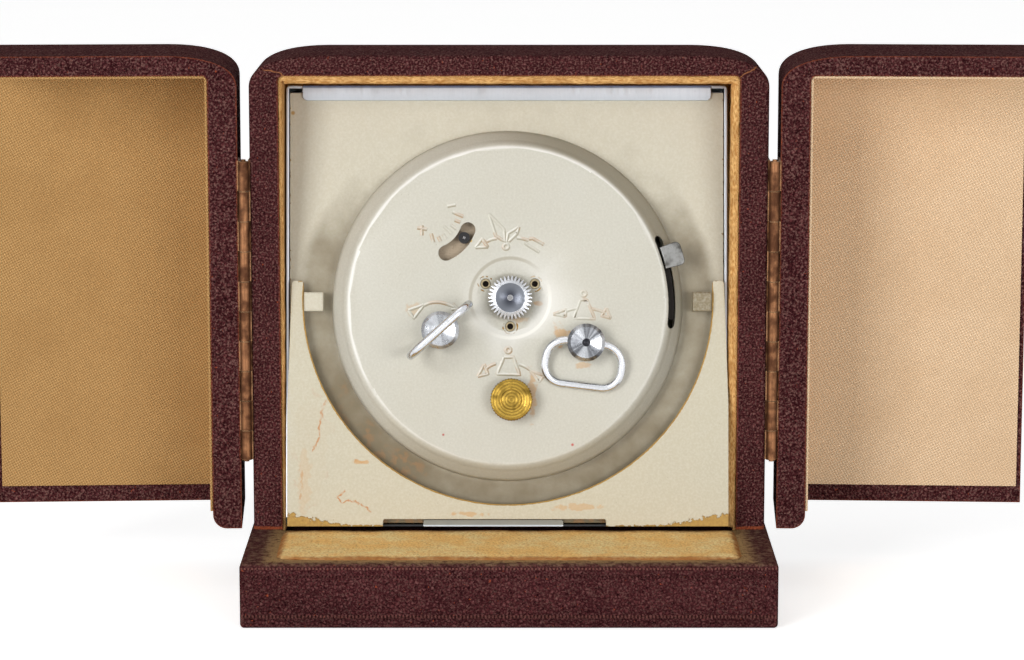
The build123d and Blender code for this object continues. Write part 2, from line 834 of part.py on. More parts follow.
def ring_solid():
    """A bent wire ring that hangs from two stubs in the hub, drawn flat and hanging down."""
    stub_end = hub_radius - ring_stub
    side = ring_half_width - ring_wire_radius
    bottom = ring_wire_radius - ring_drop
    points = [(-stub_end, 0), (-side, 0), (-side, bottom), (side, bottom), (side, 0), (stub_end, 0)]
    bends = [ring_shoulder_radius, ring_corner_radius, ring_corner_radius, ring_shoulder_radius]
    path = FilletPolyline(*[(px, 0, pz) for px, pz in points], radius=bends)
    section = Plane(origin=path @ 0, z_dir=path % 0) * Circle(ring_wire_radius)
    return sweep(section, path=path)


def placed_ring(x, z, turn, lift):
    """The ring on its hub: turned with the key and lifted off the drum about the cross hole."""
    axis_y = drum_face - hub_lift - ring_axis_rise
    return Pos(x, axis_y, z) * Rot(0, -turn, 0) * Rot(-lift, 0, 0) * ring_solid()


# Regulator lever under the cover, with the screw that shows in the curved slot
def regulator_lever():
    back = rear_plate_front - wheel_end_gap
    front = back - regulator_sheet
    arm = bar(balance_x, balance_z, regulator_radius, regulator_arm_half, regulator_rest_angle, front, back)
    px, pz = polar(balance_x, balance_z, regulator_radius, regulator_rest_angle)
    pin = disc(px, pz, regulator_pin_radius, drum_face + regulator_pin_top, back)
    hub = disc(balance_x, balance_z, regulator_hub_radius, front, back)
    bore = disc(balance_x, balance_z, regulator_boss_radius + pin_clearance,
                front - overrun, back + overrun)
    return arm + pin + hub - bore


# Alarm shut off lever: a band inside the drum, a shank through the slot and a finger piece
def alarm_stop():
    band_back = rear_plate_front + wheel_end_gap
    band_front = band_back - stop_band_sheet
    band = sector(drum_x, drum_z, stop_band_inner, stop_band_outer,
                  stop_rest_angle - stop_band_half_angle, stop_rest_angle + stop_shank_half_angle,
                  band_front, band_back)
    finger_back = drum_face + drum_shoulder / 2
    finger_front = finger_back - stop_knob_sheet
    shank = sector(drum_x, drum_z, stop_shank_inner, stop_shank_outer,
                   stop_rest_angle - stop_shank_half_angle, stop_rest_angle + stop_shank_half_angle,
                   finger_front, band_back)
    finger = sector(drum_x, drum_z, stop_shank_inner, stop_knob_outer,
                    stop_rest_angle - stop_knob_half_angle, stop_rest_angle + stop_knob_half_angle,
                    finger_front - stop_knob_sheet, finger_front)
    finger = fillet(finger.edges().filter_by(Axis.Y).sort_by(Axis.X)[-2:], stop_knob_round)
    return band + shank + finger


# Movement plates, pillars and the posts that hold the cover
def arbor_places():
    """Every arbor of the movement: its X and Z."""
    return {
        "centre": (centre_x, centre_z),
        "time_barrel": (time_key_x, time_key_z),
        "alarm_barrel": (alarm_key_x, alarm_key_z),
        "alarm": (alarm_x, alarm_z),
        "third": (third_x, third_z),
        "fourth": (fourth_x, fourth_z),
        "escape": (escape_x, escape_z),
        "pallet": (pallet_x, pallet_z),
        "balance": (balance_x, balance_z),
        "hammer": (hammer_x, hammer_z),
    }


def movement_plate(front, sheet, wide):
    """A round plate, pierced for the arbors; the wide ones also clear the barrels' arbors."""
    plate = disc(drum_x, drum_z, movement_radius, front, front + sheet)
    for name, (x, z) in arbor_places().items():
        radius = arbor_radius + plate_hole_clearance
        if name in wide:
            radius = key_arbor_radius + plate_hole_clearance
        plate = plate - disc(x, z, radius, front - overrun, front + sheet + overrun)
    return plate


def rear_plate():
    """The plate behind the drum's face, with the boss that the regulator turns on."""
    plate = movement_plate(rear_plate_front, rear_plate_sheet, ("time_barrel", "alarm_barrel"))
    boss = tube(balance_x, balance_z, regulator_boss_radius, arbor_radius + plate_hole_clearance,
                rear_plate_front - regulator_boss_height, rear_plate_front)
    return plate + boss


def front_plate():
    plate = movement_plate(front_plate_front, front_plate_sheet, ())
    for side in (-1, 1):
        x0 = drum_x + side * (movement_radius - mount_ear_length / 2)
        x1 = drum_x + side * (movement_radius + mount_ear_length)
        plate = plate + block(min(x0, x1), max(x0, x1), front_plate_front,
                              front_plate_front + front_plate_sheet,
                              drum_z - mount_ear_half, drum_z + mount_ear_half)
        post = side * (movement_radius + mount_ear_length - mount_ear_half)
        plate = plate + disc(drum_x + post, drum_z, mount_ear_half / 2,
                             plate_recess + plate_sheet, front_plate_front)
    x, z = polar(centre_x, centre_z, minute_wheel_distance, minute_wheel_angle)
    return plate + disc(x, z, arbor_radius, front_plate_front, motion_level_two + motion_sheet)


def pillars():
    posts = []
    for share in pillar_turn_shares:
        px, pz = polar(drum_x, drum_z, pillar_circle, share * full_turn)
        posts.append(disc(px, pz, pillar_radius, rear_plate_back, front_plate_front))
    return posts


def cover_posts():
    posts = []
    for share in post_turn_shares:
        px, pz = polar(centre_x, centre_z, post_circle, share * full_turn)
        front = drum_face + dish_depth + post_sunk
        post = disc(px, pz, post_radius, front, rear_plate_front)
        posts.append(post - disc(px, pz, post_bore, front - overrun, front + post_bore_depth))
    return posts


# Barrels, wheels and levers between the plates
def barrel(x, z, radius, teeth_radius):
    front = rear_plate_back + barrel_end_gap
    back = front + barrel_height
    body = disc(x, z, radius, front, back)
    body = body + disc(x, z, teeth_radius, back - barrel_rim_sheet, back)
    pivot = disc(x, z, arbor_radius, back, front_plate_front + front_plate_sheet)
    return body + pivot


def wheel(x, z, radius, level, pinion_level):
    """A wheel and its pinion on one arbor that runs in both plates."""
    arbor = disc(x, z, arbor_radius, rear_plate_front, front_plate_front + front_plate_sheet)
    rim = disc(x, z, radius, level, level + wheel_sheet)
    leaf = disc(x, z, pinion_radius, pinion_level, pinion_level + wheel_sheet)
    return arbor + rim + leaf


centre_level = front_plate_front - wheel_end_gap - wheel_sheet
third_level = rear_plate_back + wheel_end_gap
fourth_level = third_level + 4 * wheel_sheet
escape_level = fourth_level + 3 * wheel_sheet


def centre_arbor():
    front = drum_face - knob_lift - knob_height + knob_cup_depth
    arbor = disc(centre_x, centre_z, arbor_radius, front, minute_hand_front + hand_sheet)
    cannon = disc(centre_x, centre_z, cannon_radius, motion_level_one, motion_level_one + motion_sheet)
    return arbor + cannon


def centre_wheel():
    """The first driven wheel, which slips on the centre arbor when the hands are set."""
    back = centre_level + wheel_sheet
    rim = disc(centre_x, centre_z, centre_wheel_radius, centre_level, back)
    pipe = disc(centre_x, centre_z, pinion_radius, rear_plate_back + barrel_end_gap, back)
    return rim + pipe - disc(centre_x, centre_z, arbor_radius + pin_clearance, -head_depth, head_depth)


def escape_wheel():
    arbor = disc(escape_x, escape_z, arbor_radius, rear_plate_front,
                 front_plate_front + front_plate_sheet)
    points = []
    for index in range(escape_teeth):
        angle = index * full_turn / escape_teeth
        lean = full_turn / escape_teeth / 3
        points.append(polar(0, 0, escape_wheel_radius, angle))
        points.append(polar(0, 0, escape_wheel_radius - escape_tooth_depth, angle + lean))
    teeth = slab(make_face(Polyline(*points, close=True)), escape_level, escape_level + wheel_sheet)
    leaf = disc(escape_x, escape_z, escape_pinion_radius, fourth_level, fourth_level + wheel_sheet)
    return arbor + Pos(escape_x, 0, escape_z) * teeth + leaf


def pallet_lever():
    arbor = disc(pallet_x, pallet_z, arbor_radius, rear_plate_front,
                 front_plate_front + front_plate_sheet)
    top = escape_level + wheel_sheet
    toward_wheel = math.degrees(math.atan2(escape_z - pallet_z, escape_x - pallet_x))
    anchor = bar(pallet_x, pallet_z, pallet_reach, pallet_arm_half, toward_wheel, escape_level, top)
    toward_balance = math.degrees(math.atan2(balance_z - pallet_z, balance_x - pallet_x))
    fork = bar(pallet_x, pallet_z, pallet_fork, pallet_arm_half, toward_balance, escape_level, top)
    return arbor + anchor + fork


def balance_wheel():
    level = escape_level + balance_rise
    top = level + balance_rim_sheet
    rim = tube(balance_x, balance_z, balance_radius, balance_radius - balance_rim, level, top)
    arm = block(-balance_radius + balance_rim / 2, balance_radius - balance_rim / 2, level, top,
                -balance_arm_half, balance_arm_half)
    staff = disc(balance_x, balance_z, balance_staff_radius, rear_plate_front, front_plate_front)
    return rim + Pos(balance_x, 0, balance_z) * arm + staff


def hairspring():
    """A flat spiral strip between its collet and its stud."""
    level = rear_plate_back + hairspring_rise
    pitch = (hairspring_outer - hairspring_inner) / hairspring_turns
    edges = []
    for index in range(2 * hairspring_turns):
        near = hairspring_inner + index * pitch / 2
        far = near + pitch / 2
        turned = 2 * quarter_turn * index
        start = polar(0, 0, near, turned)
        middle = polar(0, 0, (near + far) / 2, turned + quarter_turn)
        end = polar(0, 0, far, turned + 2 * quarter_turn)
        edges.append(ThreePointArc(start, middle, end))
    strips = [trace(edge, hairspring_strip) for edge in edges]
    coil = strips[0]
    for strip in strips[1:]:
        coil = coil + strip
    spiral = slab(coil, level, level + hairspring_height)
    collet = tube(0, 0, hairspring_inner + hairspring_strip, balance_staff_radius + pin_clearance,
                  level, level + hairspring_height)
    return Pos(balance_x, 0, balance_z) * (spiral + collet)


def hammer():
    arbor = disc(hammer_x, hammer_z, arbor_radius, rear_plate_front,
                 front_plate_front + front_plate_sheet)
    arm = bar(hammer_x, hammer_z, hammer_arm, hammer_arm_half, hammer_angle, third_level,
              third_level + wheel_sheet)
    px, pz = polar(hammer_x, hammer_z, hammer_arm, hammer_angle)
    head = disc(px, pz, hammer_head_radius, third_level, third_level + hammer_head_height)
    return arbor + arm + head


# Dial side: dial, glass, hands and the wheels that turn them
def dial():
    half = case_inner_half - dial_margin
    low = case_sheet + dial_margin
    plate = block(-half, half, dial_front, dial_front + dial_sheet, low, head_size - low)
    return plate - disc(centre_x, centre_z, dial_hole_radius, 0, head_depth)


def glass():
    half = case_inner_half - glass_clearance
    low = case_sheet + glass_clearance
    return block(-half, half, glass_front, head_depth - case_sheet, low, head_size - low)


def hand(length, front, turn, bore):
    """A tapered hand with a round boss, pointing up before it is turned about the centre."""
    blade = Polyline((-hand_root_half, 0), (-hand_tip_half, length), (hand_tip_half, length),
                     (hand_root_half, 0), (hand_tip_half, -hand_tail), (-hand_tip_half, -hand_tail),
                     close=True)
    solid = slab(make_face(blade), front, front + hand_sheet)
    solid = solid + disc(0, 0, hand_boss_radius, front, front + hand_sheet)
    solid = solid - disc(0, 0, bore, front - overrun, front + hand_sheet + overrun)
    return Pos(centre_x, 0, centre_z) * Rot(0, turn, 0) * solid


def hour_wheel():
    rim = disc(centre_x, centre_z, hour_wheel_radius, motion_level_two,
               motion_level_two + motion_sheet)
    pipe = disc(centre_x, centre_z, hour_pipe_outer, motion_level_two, hour_hand_front + hand_sheet)
    return rim + pipe - disc(centre_x, centre_z, hour_pipe_inner, 0, head_depth)


def alarm_wheel():
    rim = disc(centre_x, centre_z, alarm_wheel_radius, motion_level_three,
               motion_level_three + motion_sheet)
    pipe = disc(centre_x, centre_z, alarm_pipe_outer, motion_level_three,
                alarm_hand_front + hand_sheet)
    return rim + pipe - disc(centre_x, centre_z, alarm_pipe_inner, 0, head_depth)


def minute_wheel():
    x, z = polar(centre_x, centre_z, minute_wheel_distance, minute_wheel_angle)
    rim = disc(x, z, minute_wheel_radius, motion_level_one, motion_level_one + motion_sheet)
    leaf = disc(x, z, minute_pinion_radius, motion_level_one, motion_level_two + motion_sheet)
    return rim + leaf - disc(x, z, arbor_radius + pin_clearance, 0, head_depth)


def alarm_arbor():
    front = drum_face - knob_lift - alarm_knob_height / 2
    arbor = disc(alarm_x, alarm_z, arbor_radius, front, motion_level_three + motion_sheet)
    leaf = disc(alarm_x, alarm_z, alarm_pinion_radius, motion_level_three,
                motion_level_three + motion_sheet)
    return arbor + leaf


def main():
    save("case_frame", case_frame())
    save("plinth", plinth())
    save("frame_lining", frame_lining())
    save("plinth_pad", plinth_pad())
    shell, cloth = door_shell(), door_lining()
    frame_leaf, door_leaf, pin = hinge_leaf(0, True), hinge_leaf(1, False), hinge_pin()
    for name, side in (("left", -1), ("right", 1)):
        save(f"{name}_frame_leaf", on_side(frame_leaf, side))
        save(f"{name}_hinge_pin", on_side(pin, side))
        save(f"{name}_door_shell", opened(shell, side))
        save(f"{name}_door_lining", opened(cloth, side))
        save(f"{name}_door_leaf", opened(door_leaf, side))
    save_head("nickel_case", nickel_case())
    save_head("back_plate", back_plate())
    save_head("drum_cover", drum_cover())
    save_head("strut", strut())
    save_head("strut_lugs", strut_lug(-1), strut_lug(1))
    save_head("set_knob", set_knob())
    save_head("alarm_knob", alarm_knob())
    save_head("time_key_hub", key_hub(time_key_x, time_key_z, time_key_angle, False))
    save_head("alarm_key_hub", key_hub(alarm_key_x, alarm_key_z, alarm_key_angle, True))
    save_head("time_key_ring", placed_ring(time_key_x, time_key_z, time_key_angle, quarter_turn))
    save_head("alarm_key_ring", placed_ring(alarm_key_x, alarm_key_z, alarm_key_angle,
                                           -ring_rest_angle))
    save_head("regulator_lever", regulator_lever())
    save_head("alarm_stop", alarm_stop())
    save_head("rear_plate", rear_plate())
    save_head("front_plate", front_plate())
    save_head("pillars", *pillars())
    save_head("cover_posts", *cover_posts())
    save_head("time_barrel", barrel(time_key_x, time_key_z, time_barrel_radius,
                                    time_barrel_teeth_radius))
    save_head("alarm_barrel", barrel(alarm_key_x, alarm_key_z, alarm_barrel_radius,
                                     alarm_barrel_radius))
    save_head("centre_arbor", centre_arbor())
    save_head("centre_wheel", centre_wheel())
    save_head("third_wheel", wheel(third_x, third_z, third_wheel_radius, third_level, centre_level))
    save_head("fourth_wheel", wheel(fourth_x, fourth_z, fourth_wheel_radius, fourth_level,
                                    third_level))
    save_head("escape_wheel", escape_wheel())
    save_head("pallet_lever", pallet_lever())
    save_head("balance_wheel", balance_wheel())
    save_head("hairspring", hairspring())
    save_head("hammer", hammer())
    save_head("dial", dial())
    save_head("glass", glass())
    save_head("minute_hand", hand(minute_hand_length, minute_hand_front, minute_hand_angle,
                                  arbor_radius))
    save_head("hour_hand", hand(hour_hand_length, hour_hand_front, hour_hand_angle,
                                hour_pipe_outer))
    save_head("alarm_hand", hand(alarm_hand_length, alarm_hand_front, alarm_hand_angle,
                                 alarm_pipe_outer))
    save_head("hour_wheel", hour_wheel())
    save_head("minute_wheel", minute_wheel())
    save_head("alarm_wheel", alarm_wheel())
    save_head("alarm_arbor", alarm_arbor())


main()
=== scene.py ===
import json
import math

import bmesh
import bpy
import numpy as np
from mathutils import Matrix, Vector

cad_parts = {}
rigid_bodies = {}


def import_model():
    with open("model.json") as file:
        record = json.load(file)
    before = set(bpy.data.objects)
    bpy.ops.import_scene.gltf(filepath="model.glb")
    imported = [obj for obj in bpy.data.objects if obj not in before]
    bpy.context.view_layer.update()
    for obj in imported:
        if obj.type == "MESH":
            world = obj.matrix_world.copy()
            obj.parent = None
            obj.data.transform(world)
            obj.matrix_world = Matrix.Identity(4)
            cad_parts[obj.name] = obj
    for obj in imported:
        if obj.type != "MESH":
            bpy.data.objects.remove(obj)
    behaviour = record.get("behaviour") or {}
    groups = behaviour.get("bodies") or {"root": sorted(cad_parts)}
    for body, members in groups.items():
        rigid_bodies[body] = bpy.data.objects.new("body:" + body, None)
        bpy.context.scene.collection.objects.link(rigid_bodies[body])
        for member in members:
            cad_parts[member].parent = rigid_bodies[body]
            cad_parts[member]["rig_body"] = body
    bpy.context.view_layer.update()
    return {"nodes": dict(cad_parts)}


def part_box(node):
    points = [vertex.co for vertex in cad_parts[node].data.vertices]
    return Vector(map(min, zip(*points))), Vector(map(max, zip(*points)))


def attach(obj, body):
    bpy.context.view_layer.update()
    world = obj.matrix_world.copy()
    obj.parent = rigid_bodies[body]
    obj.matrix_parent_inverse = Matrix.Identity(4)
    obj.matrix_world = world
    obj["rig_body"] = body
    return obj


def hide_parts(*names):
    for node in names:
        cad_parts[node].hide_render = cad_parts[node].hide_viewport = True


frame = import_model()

MM = 0.001
nodes = frame["nodes"]
scene = bpy.context.scene

# Where the clock head stands in the case: its lean, then its foot in millimetres
LEAN = math.radians(10.0)
FOOT = np.array([-0.4, -2.1, 11.85])

# Depths of the drum's face and of the dial's, and middles and sizes of the round parts, in clock millimetres
DRUM_FACE = -5.0
DIAL_FACE = 5.73
DRUM = (0.1, 37.9)
DRUM_RADIUS = 30.1
SHOULDER = 3.1
DISH = 6.7
DISH_DEPTH = 0.5
CENTRE = (0.594, 39.2)
POST_CIRCLE = 4.85
TIME_KEY = (-11.288, 33.688)
ALARM_KEY = (13.49, 31.608)
ALARM_KNOB = (0.802, 21.91)
RATE_PIN = (-7.256, 49.476)
MOUTH = (0.2, 38.9)
NUMERALS = 23.8

# Arched corners of the leather: middle of the right one's ellipse, its two reaches, and the power of its
# cosine and sine, which under 1 makes it fuller
ARCH = (30.5, 86.998)
ARCH_ACROSS = 13.5
ARCH_DROP = 5.6
ARCH_FULLNESS = 0.82

# The doors: opening in degrees, x and y of a hinge, a closed tray's front and back, and its rounded edges
DOOR_SWING = 177.0
HINGE = (45.0, -0.15)
TRAY = (-26.1, -0.3)
TRAY_EDGES = (1.6, 0.0)

# Millimetres that the key rings swell by, width and heights of the pressed lines, and how far round the
# alarm key its ring sweeps, where the lines stay low
RING_SWELL = 0.09
PRESSED_WIDTH = 0.66
PRESSED_HIGH = 0.17
PRESSED_LOW = 0.08
RING_SWEEP = 11.0

# Lines tooled along the plinth's front: height, half width and how strongly the beads' painted highlight shows
TOOLED_LINES = ((10.15, 0.24, 0.5), (8.8, 0.2, 0.1), (2.0, 0.42, 0.34))

# Brown tide marks down the strut's left side: path, width and strength
STRUT_LINES = [([(-31.1, 21.8), (-31.8, 18.7), (-32.1, 15.6), (-33.2, 12.9)], 0.3, 0.8),
               ([(-27.7, 6.4), (-29.0, 5.2), (-28.2, 4.2), (-26.8, 4.7), (-25.1, 4.0), (-23.1, 2.6)], 0.25,
                0.9), ([(-35.0, 9.8), (-35.4, 4.7)], 0.25, 0.5), ([(-26.1, 11.4), (-23.9, 11.2)], 0.4, 0.8)]

# Specks on the paint: x, z, reach and colour
SPECKS = [(-10.8, 15.9, 0.3, 176, 60, 48), (11.2, 14.2, 0.35, 190, 52, 44), (-36.75, 71.1, 0.5, 176, 132, 52),
          (-6.09, 48.9, 0.3, 206, 164, 60)]

# The photograph's camera, in metres, degrees and pixels, and the lamps: name, place, size and power
CAMERA = (0.0005, -0.5867, 0.14435)
CAMERA_DOWN = 9.54
FOCAL_PIXELS = 3485.6
PHOTO_WIDTH = 1024
SENSOR = 36.0
LAMP_AIM = (0, 0, 0.05)
LAMPS = (("key_light", (-0.62, -0.95, 0.34), (0.45, 0.6), 7.2), ("fill_light", (0.5, -1.0, 0.1), (0.5, 0.4),
                                                                 4.4),
         ("top_light", (-0.2, -0.1, 1.1), (0.9, 0.6), 0.9))

FULL_TURN = 6.283


def in_clock(points):
    """World metres of points given in clock millimetres: turned back by the lean, then moved to the foot."""
    p = np.asarray(points, float)
    y = p[..., 1] * math.cos(LEAN) + p[..., 2] * math.sin(LEAN)
    z = p[..., 2] * math.cos(LEAN) - p[..., 1] * math.sin(LEAN)
    return (np.stack([p[..., 0], y, z], -1) + FOOT) * MM


# Shader building: a value is a plain number, a colour or another node's output
class Shading:
    """The shader tree that new nodes go into: group(), material() and make_light() open one."""
    tree = None


def feed(source, socket):
    if isinstance(source, bpy.types.NodeSocket):
        Shading.tree.links.new(source, socket)
    else:
        socket.default_value = source


def node(kind, inputs=(), **settings):
    made = Shading.tree.nodes.new("ShaderNode" + kind)
    for key, value in settings.items():
        setattr(made, key, value)
    for key, value in dict(inputs).items():
        feed(value, made.inputs[key])
    return made


def calc(operation, *values):
    return node("Math", dict(enumerate(values)), operation=operation).outputs[0]


def plus(first, second):
    return calc("ADD", first, second)


def minus(first, second):
    return calc("SUBTRACT", first, second)


def times(first, second):
    return calc("MULTIPLY", first, second)


def larger(first, *others):
    for other in others:
        first = calc("MAXIMUM", first, other)
    return first


def added(value, factor, base):
    """A base plus a value times a factor."""
    return calc("MULTIPLY_ADD", value, factor, base)


def vector(operation, *values):
    made = node("VectorMath", dict(enumerate(values)), operation=operation)
    return made.outputs["Value" if operation in ("LENGTH", "DOT_PRODUCT") else "Vector"]


def span(value, low, high, out_low=0.0, out_high=1.0):
    """A smooth step from one value to another."""
    return node("MapRange", {"Value": value, "From Min": low, "From Max": high, "To Min": out_low,
                             "To Max": out_high}, interpolation_type="SMOOTHSTEP").outputs["Result"]


def mixed(amount, first, second):
    return node("Mix", {0: amount, 6: first, 7: second}, data_type="RGBA").outputs[2]


def coats(tone, *layers):
    """A tone under further colours, each laid on by its mask: layers are (mask, colour)."""
    for mask, colour in layers:
        tone = mixed(mask, tone, colour)
    return tone


def noise(place, scale, detail=2.0, output=0):
    return node("TexNoise", {"Vector": place, "Scale": scale, "Detail": detail}).outputs[output]


def ragged(place, scale, detail, amount, base):
    """A base made uneven by noise."""
    return added(minus(noise(place, scale, detail), 0.5), amount, base)


def cells(place, scale, feature="F1", output="Distance"):
    return node("TexVoronoi", {"Vector": place, "Scale": scale}, feature=feature).outputs[output]


def placed(place, scale=(1, 1, 1), turn=(0, 0, 0), move=(0, 0, 0)):
    """A place scaled, then turned, then moved."""
    return node("Mapping", {"Vector": place, "Scale": scale, "Rotation": turn, "Location": move}).outputs[0]


def in_mm(place):
    return placed(place, (1 / MM,) * 3)


def in_clock_mm(place):
    """Clock millimetres of a world place: the reverse of in_clock."""
    y = FOOT[1] * math.cos(LEAN) - FOOT[2] * math.sin(LEAN)
    z = FOOT[1] * math.sin(LEAN) + FOOT[2] * math.cos(LEAN)
    return placed(place, (1 / MM,) * 3, (LEAN, 0, 0), (-FOOT[0], -y, -z))


def axes(place):
    return tuple(node("SeparateXYZ", {"Vector": place}).outputs)


def paint(red, green, blue):
    """Linear colour of an sRGB colour given in 0 to 255."""
    def line(value):
        value = value / 255
        return value / 12.92 if value <= 0.04045 else ((value + 0.055) / 1.055) ** 2.4
    return (line(red), line(green), line(blue), 1.0)


def group(name, results, **inputs):
    """Opens a shader group; gives its inputs and its outputs. An input's kind follows from its default, and
    of the results only Color is a colour."""
    tree = Shading.tree = bpy.data.node_groups.new(name, "ShaderNodeTree")
    for title, value in {"Place": (0, 0, 0), **inputs}.items():
        kind = "Float" if isinstance(value, float) else "Color" if len(value) == 4 else "Vector"
        made = tree.interface.new_socket(title, in_out="INPUT", socket_type="NodeSocket" + kind)
        made.default_value = value
    for title in results.split():
        kind = "Color" if title == "Color" else "Float"
        tree.interface.new_socket(title, in_out="OUTPUT", socket_type="NodeSocket" + kind)
    return tree.nodes.new("NodeGroupInput").outputs, tree.nodes.new("NodeGroupOutput").inputs


def use(name, **inputs):
    return node("Group", inputs.items(), node_tree=bpy.data.node_groups[name]).outputs


def material(name, measure=None, **constants):
    """Opens a material; gives it and its place, measured by in_mm or in_clock_mm. Constants are set on its
    Principled shader."""
    made = bpy.data.materials.new(name)
    made.use_nodes = True
    Shading.tree = made.node_tree
    for key, value in constants.items():
        made.node_tree.nodes["Principled BSDF"].inputs[key.replace("_", " ")].default_value = value
    place = node("TexCoord").outputs["Object"]
    return made, measure(place) if measure else place


def finished(made, colour, height=None, depth=0.0, **others):
    """Links a colour, other values by socket name, and a bump whose depth is in millimetres."""
    shader = made.node_tree.nodes["Principled BSDF"]
    for title, value in {"Base Color": colour, **others}.items():
        feed(value, shader.inputs[title])
    if height is not None:
        feed(node("Bump", {"Height": height, "Distance": depth * MM}).outputs[0], shader.inputs["Normal"])
    return made


def normal():
    return node("NewGeometry").outputs["Normal"]


def edge_of(radius):
    """0 on flat surface, and more the closer it lies to an edge, within a radius in millimetres."""
    rounded = node("Bevel", {"Radius": radius * MM}, samples=6).outputs[0]
    return minus(1.0, vector("DOT_PRODUCT", rounded, normal()))


def off_axis(mm, middle):
    """The way from an axis of the clock, square to it."""
    return vector("MULTIPLY", vector("SUBTRACT", mm, (middle[0], 0, middle[1])), (1, 0, 1))


# Shared effects
def build_hide():
    """Pebbled leather: domes between dark valleys and pores, small painted highlights on some tops, rubbed and
    worn places.
    """
    given, out = group("hide", "Color Height Roughness", Wear=0.0, Grit=1.0, Skin=paint(74, 34, 37))
    place = given["Place"]
    pore_red = paint(34, 9, 14)
    shift = vector("SUBTRACT", noise(place, 1.3, 3.0, 1), (0.5, 0.5, 0.5))
    warped = vector("MULTIPLY_ADD", shift, (0.7, 0.7, 0.7), place)
    scale = 1 / 0.66
    dome = cells(warped, scale)
    lot = axes(cells(warped, scale, output="Color"))[0]
    valley = span(cells(warped, scale, "DISTANCE_TO_EDGE"), 0.22, 0.02)
    patch = noise(place, 0.13, 5.0)
    pits = span(noise(place, 1.5, 5.0), 0.56, 0.68)
    # A painted highlight on the tops of some domes
    painted_glint = times(span(dome, 0.4, 0.1), span(lot, 0.55, 0.9))
    pore = times(span(dome, 0.42, 0.2), span(lot, 0.45, 0.3))
    fine = noise(place, 4.5, 3.0)
    grit = noise(place, 2.9, 8.0)
    sparks = span(noise(placed(place, move=(31, 7, 11)), 1.6, 3.0), 0.7, 0.75)
    rubbed = span(ragged(place, 0.8, 6.0, 1.5, given["Wear"]), 0.42, 0.62)
    tone = coats(given["Skin"],
                 (span(patch, 0.3, 0.7), paint(90, 46, 48)),
                 (times(valley, 0.6), pore_red),
                 (times(pits, 0.75), pore_red),
                 (span(fine, 0.5, 0.75, 0.0, 0.35), paint(120, 74, 74)),
                 (times(pore, 0.75), pore_red),
                 (times(painted_glint, times(fine, 0.5)), paint(150, 106, 104)),
                 (times(span(grit, 0.46, 0.74, 0.0, 0.7), given["Grit"]), paint(146, 108, 100)),
                 (times(span(grit, 0.46, 0.3, 0.0, 0.75), given["Grit"]), paint(38, 14, 15)),
                 (times(sparks, 0.7), paint(172, 82, 52)),
                 (rubbed, mixed(noise(place, 2.2, 3.0), paint(172, 92, 58), paint(112, 52, 42))))
    feed(tone, out["Color"])
    height = added(dome, -1.0, 1.0)
    height = added(valley, -0.5, height)
    height = added(pits, -0.5, height)
    height = added(pore, -0.6, added(fine, 0.3, height))
    feed(added(rubbed, -0.3, height), out["Height"])
    feed(span(plus(valley, pits), 0.0, 1.0, 0.66, 0.95), out["Roughness"])


def build_coat():
    """Enamel on sheet metal: fine orange peel, faint clouds, pin holes, darkening from a given mask of soiling
    and painted shade with rust where it is strongest, and chips that show metal.
    """
    given, out = group("coat", "Color Height Roughness Bare", Paint=paint(214, 208, 188), Dirt=0.0, Chip=0.0)
    place = given["Place"]
    cloud = span(noise(place, 0.06, 4.0), 0.3, 0.7)
    peel = noise(place, 2.6, 3.0)
    pin = span(cells(place, 0.8), 0.07, 0.03)
    # Darkening from the mask of soiling and painted shade; rust where it is strongest
    grime_and_shade = ragged(place, 0.22, 6.0, 0.55, given["Dirt"])
    rusty = times(span(grime_and_shade, 1.0, 1.2), span(noise(place, 0.7, 6.0), 0.46, 0.6))
    tone = coats(given["Paint"],
                 (times(cloud, 0.5), mixed(0.4, given["Paint"], paint(192, 184, 162))),
                 (span(peel, 0.35, 0.75, 0.0, 0.22), paint(232, 230, 220)),
                 (times(pin, 0.35), paint(130, 112, 84)),
                 (span(grime_and_shade, 0.15, 1.2), paint(118, 104, 76)),
                 (times(rusty, 0.6), paint(156, 114, 68)))
    bare = span(ragged(place, 1.4, 6.0, 1.3, given["Chip"]), 0.46, 0.54)
    metal = mixed(noise(place, 2.0, 4.0), paint(172, 140, 76), paint(122, 92, 58))
    feed(mixed(bare, tone, metal), out["Color"])
    feed(added(bare, -2.0, peel), out["Height"])
    feed(span(peel, 0.3, 0.8, 0.36, 0.52), out["Roughness"])
    feed(bare, out["Bare"])


def build_tide():
    """A dried stain: a ragged ellipse, as its inside and as the darker line along its rim."""
    given, out = group("tide", "Rim Inside", Middle=(0, 0, 0), Reach=(1, 1, 1))
    away = vector("DIVIDE", vector("SUBTRACT", given["Place"], given["Middle"]), given["Reach"])
    reached = ragged(given["Place"], 0.35, 5.0, 1.6, vector("LENGTH", away))
    off = calc("ABSOLUTE", minus(reached, 1.0))
    thin = times(0.08, span(noise(given["Place"], 1.3, 3.0), 0.3, 0.7, 0.4, 1.6))
    rim = minus(1.0, calc("DIVIDE", off, thin))
    broken = span(noise(placed(given["Place"], move=(5, 9, 2)), 0.3, 3.0), 0.48, 0.62)
    feed(times(span(rim, 0.0, 0.8), broken), out["Rim"])
    feed(span(reached, 1.05, 0.85), out["Inside"])


def build_turned():
    """Lathe marks: uneven rings about an axis along Y through a place."""
    given, out = group("turned", "Rings Radius", Middle=(0, 0, 0), Pitch=0.09)
    away = vector("MULTIPLY", vector("SUBTRACT", given["Place"], given["Middle"]), (1, 0, 1))
    radius = vector("LENGTH", away)
    wave = calc("SINE", calc("DIVIDE", times(radius, FULL_TURN), given["Pitch"]))
    along = node("CombineXYZ", {"X": times(radius, 7.0)}).outputs[0]
    uneven = noise(along, 1.0, 4.0)
    feed(added(wave, 0.25, uneven), out["Rings"])
    feed(radius, out["Radius"])


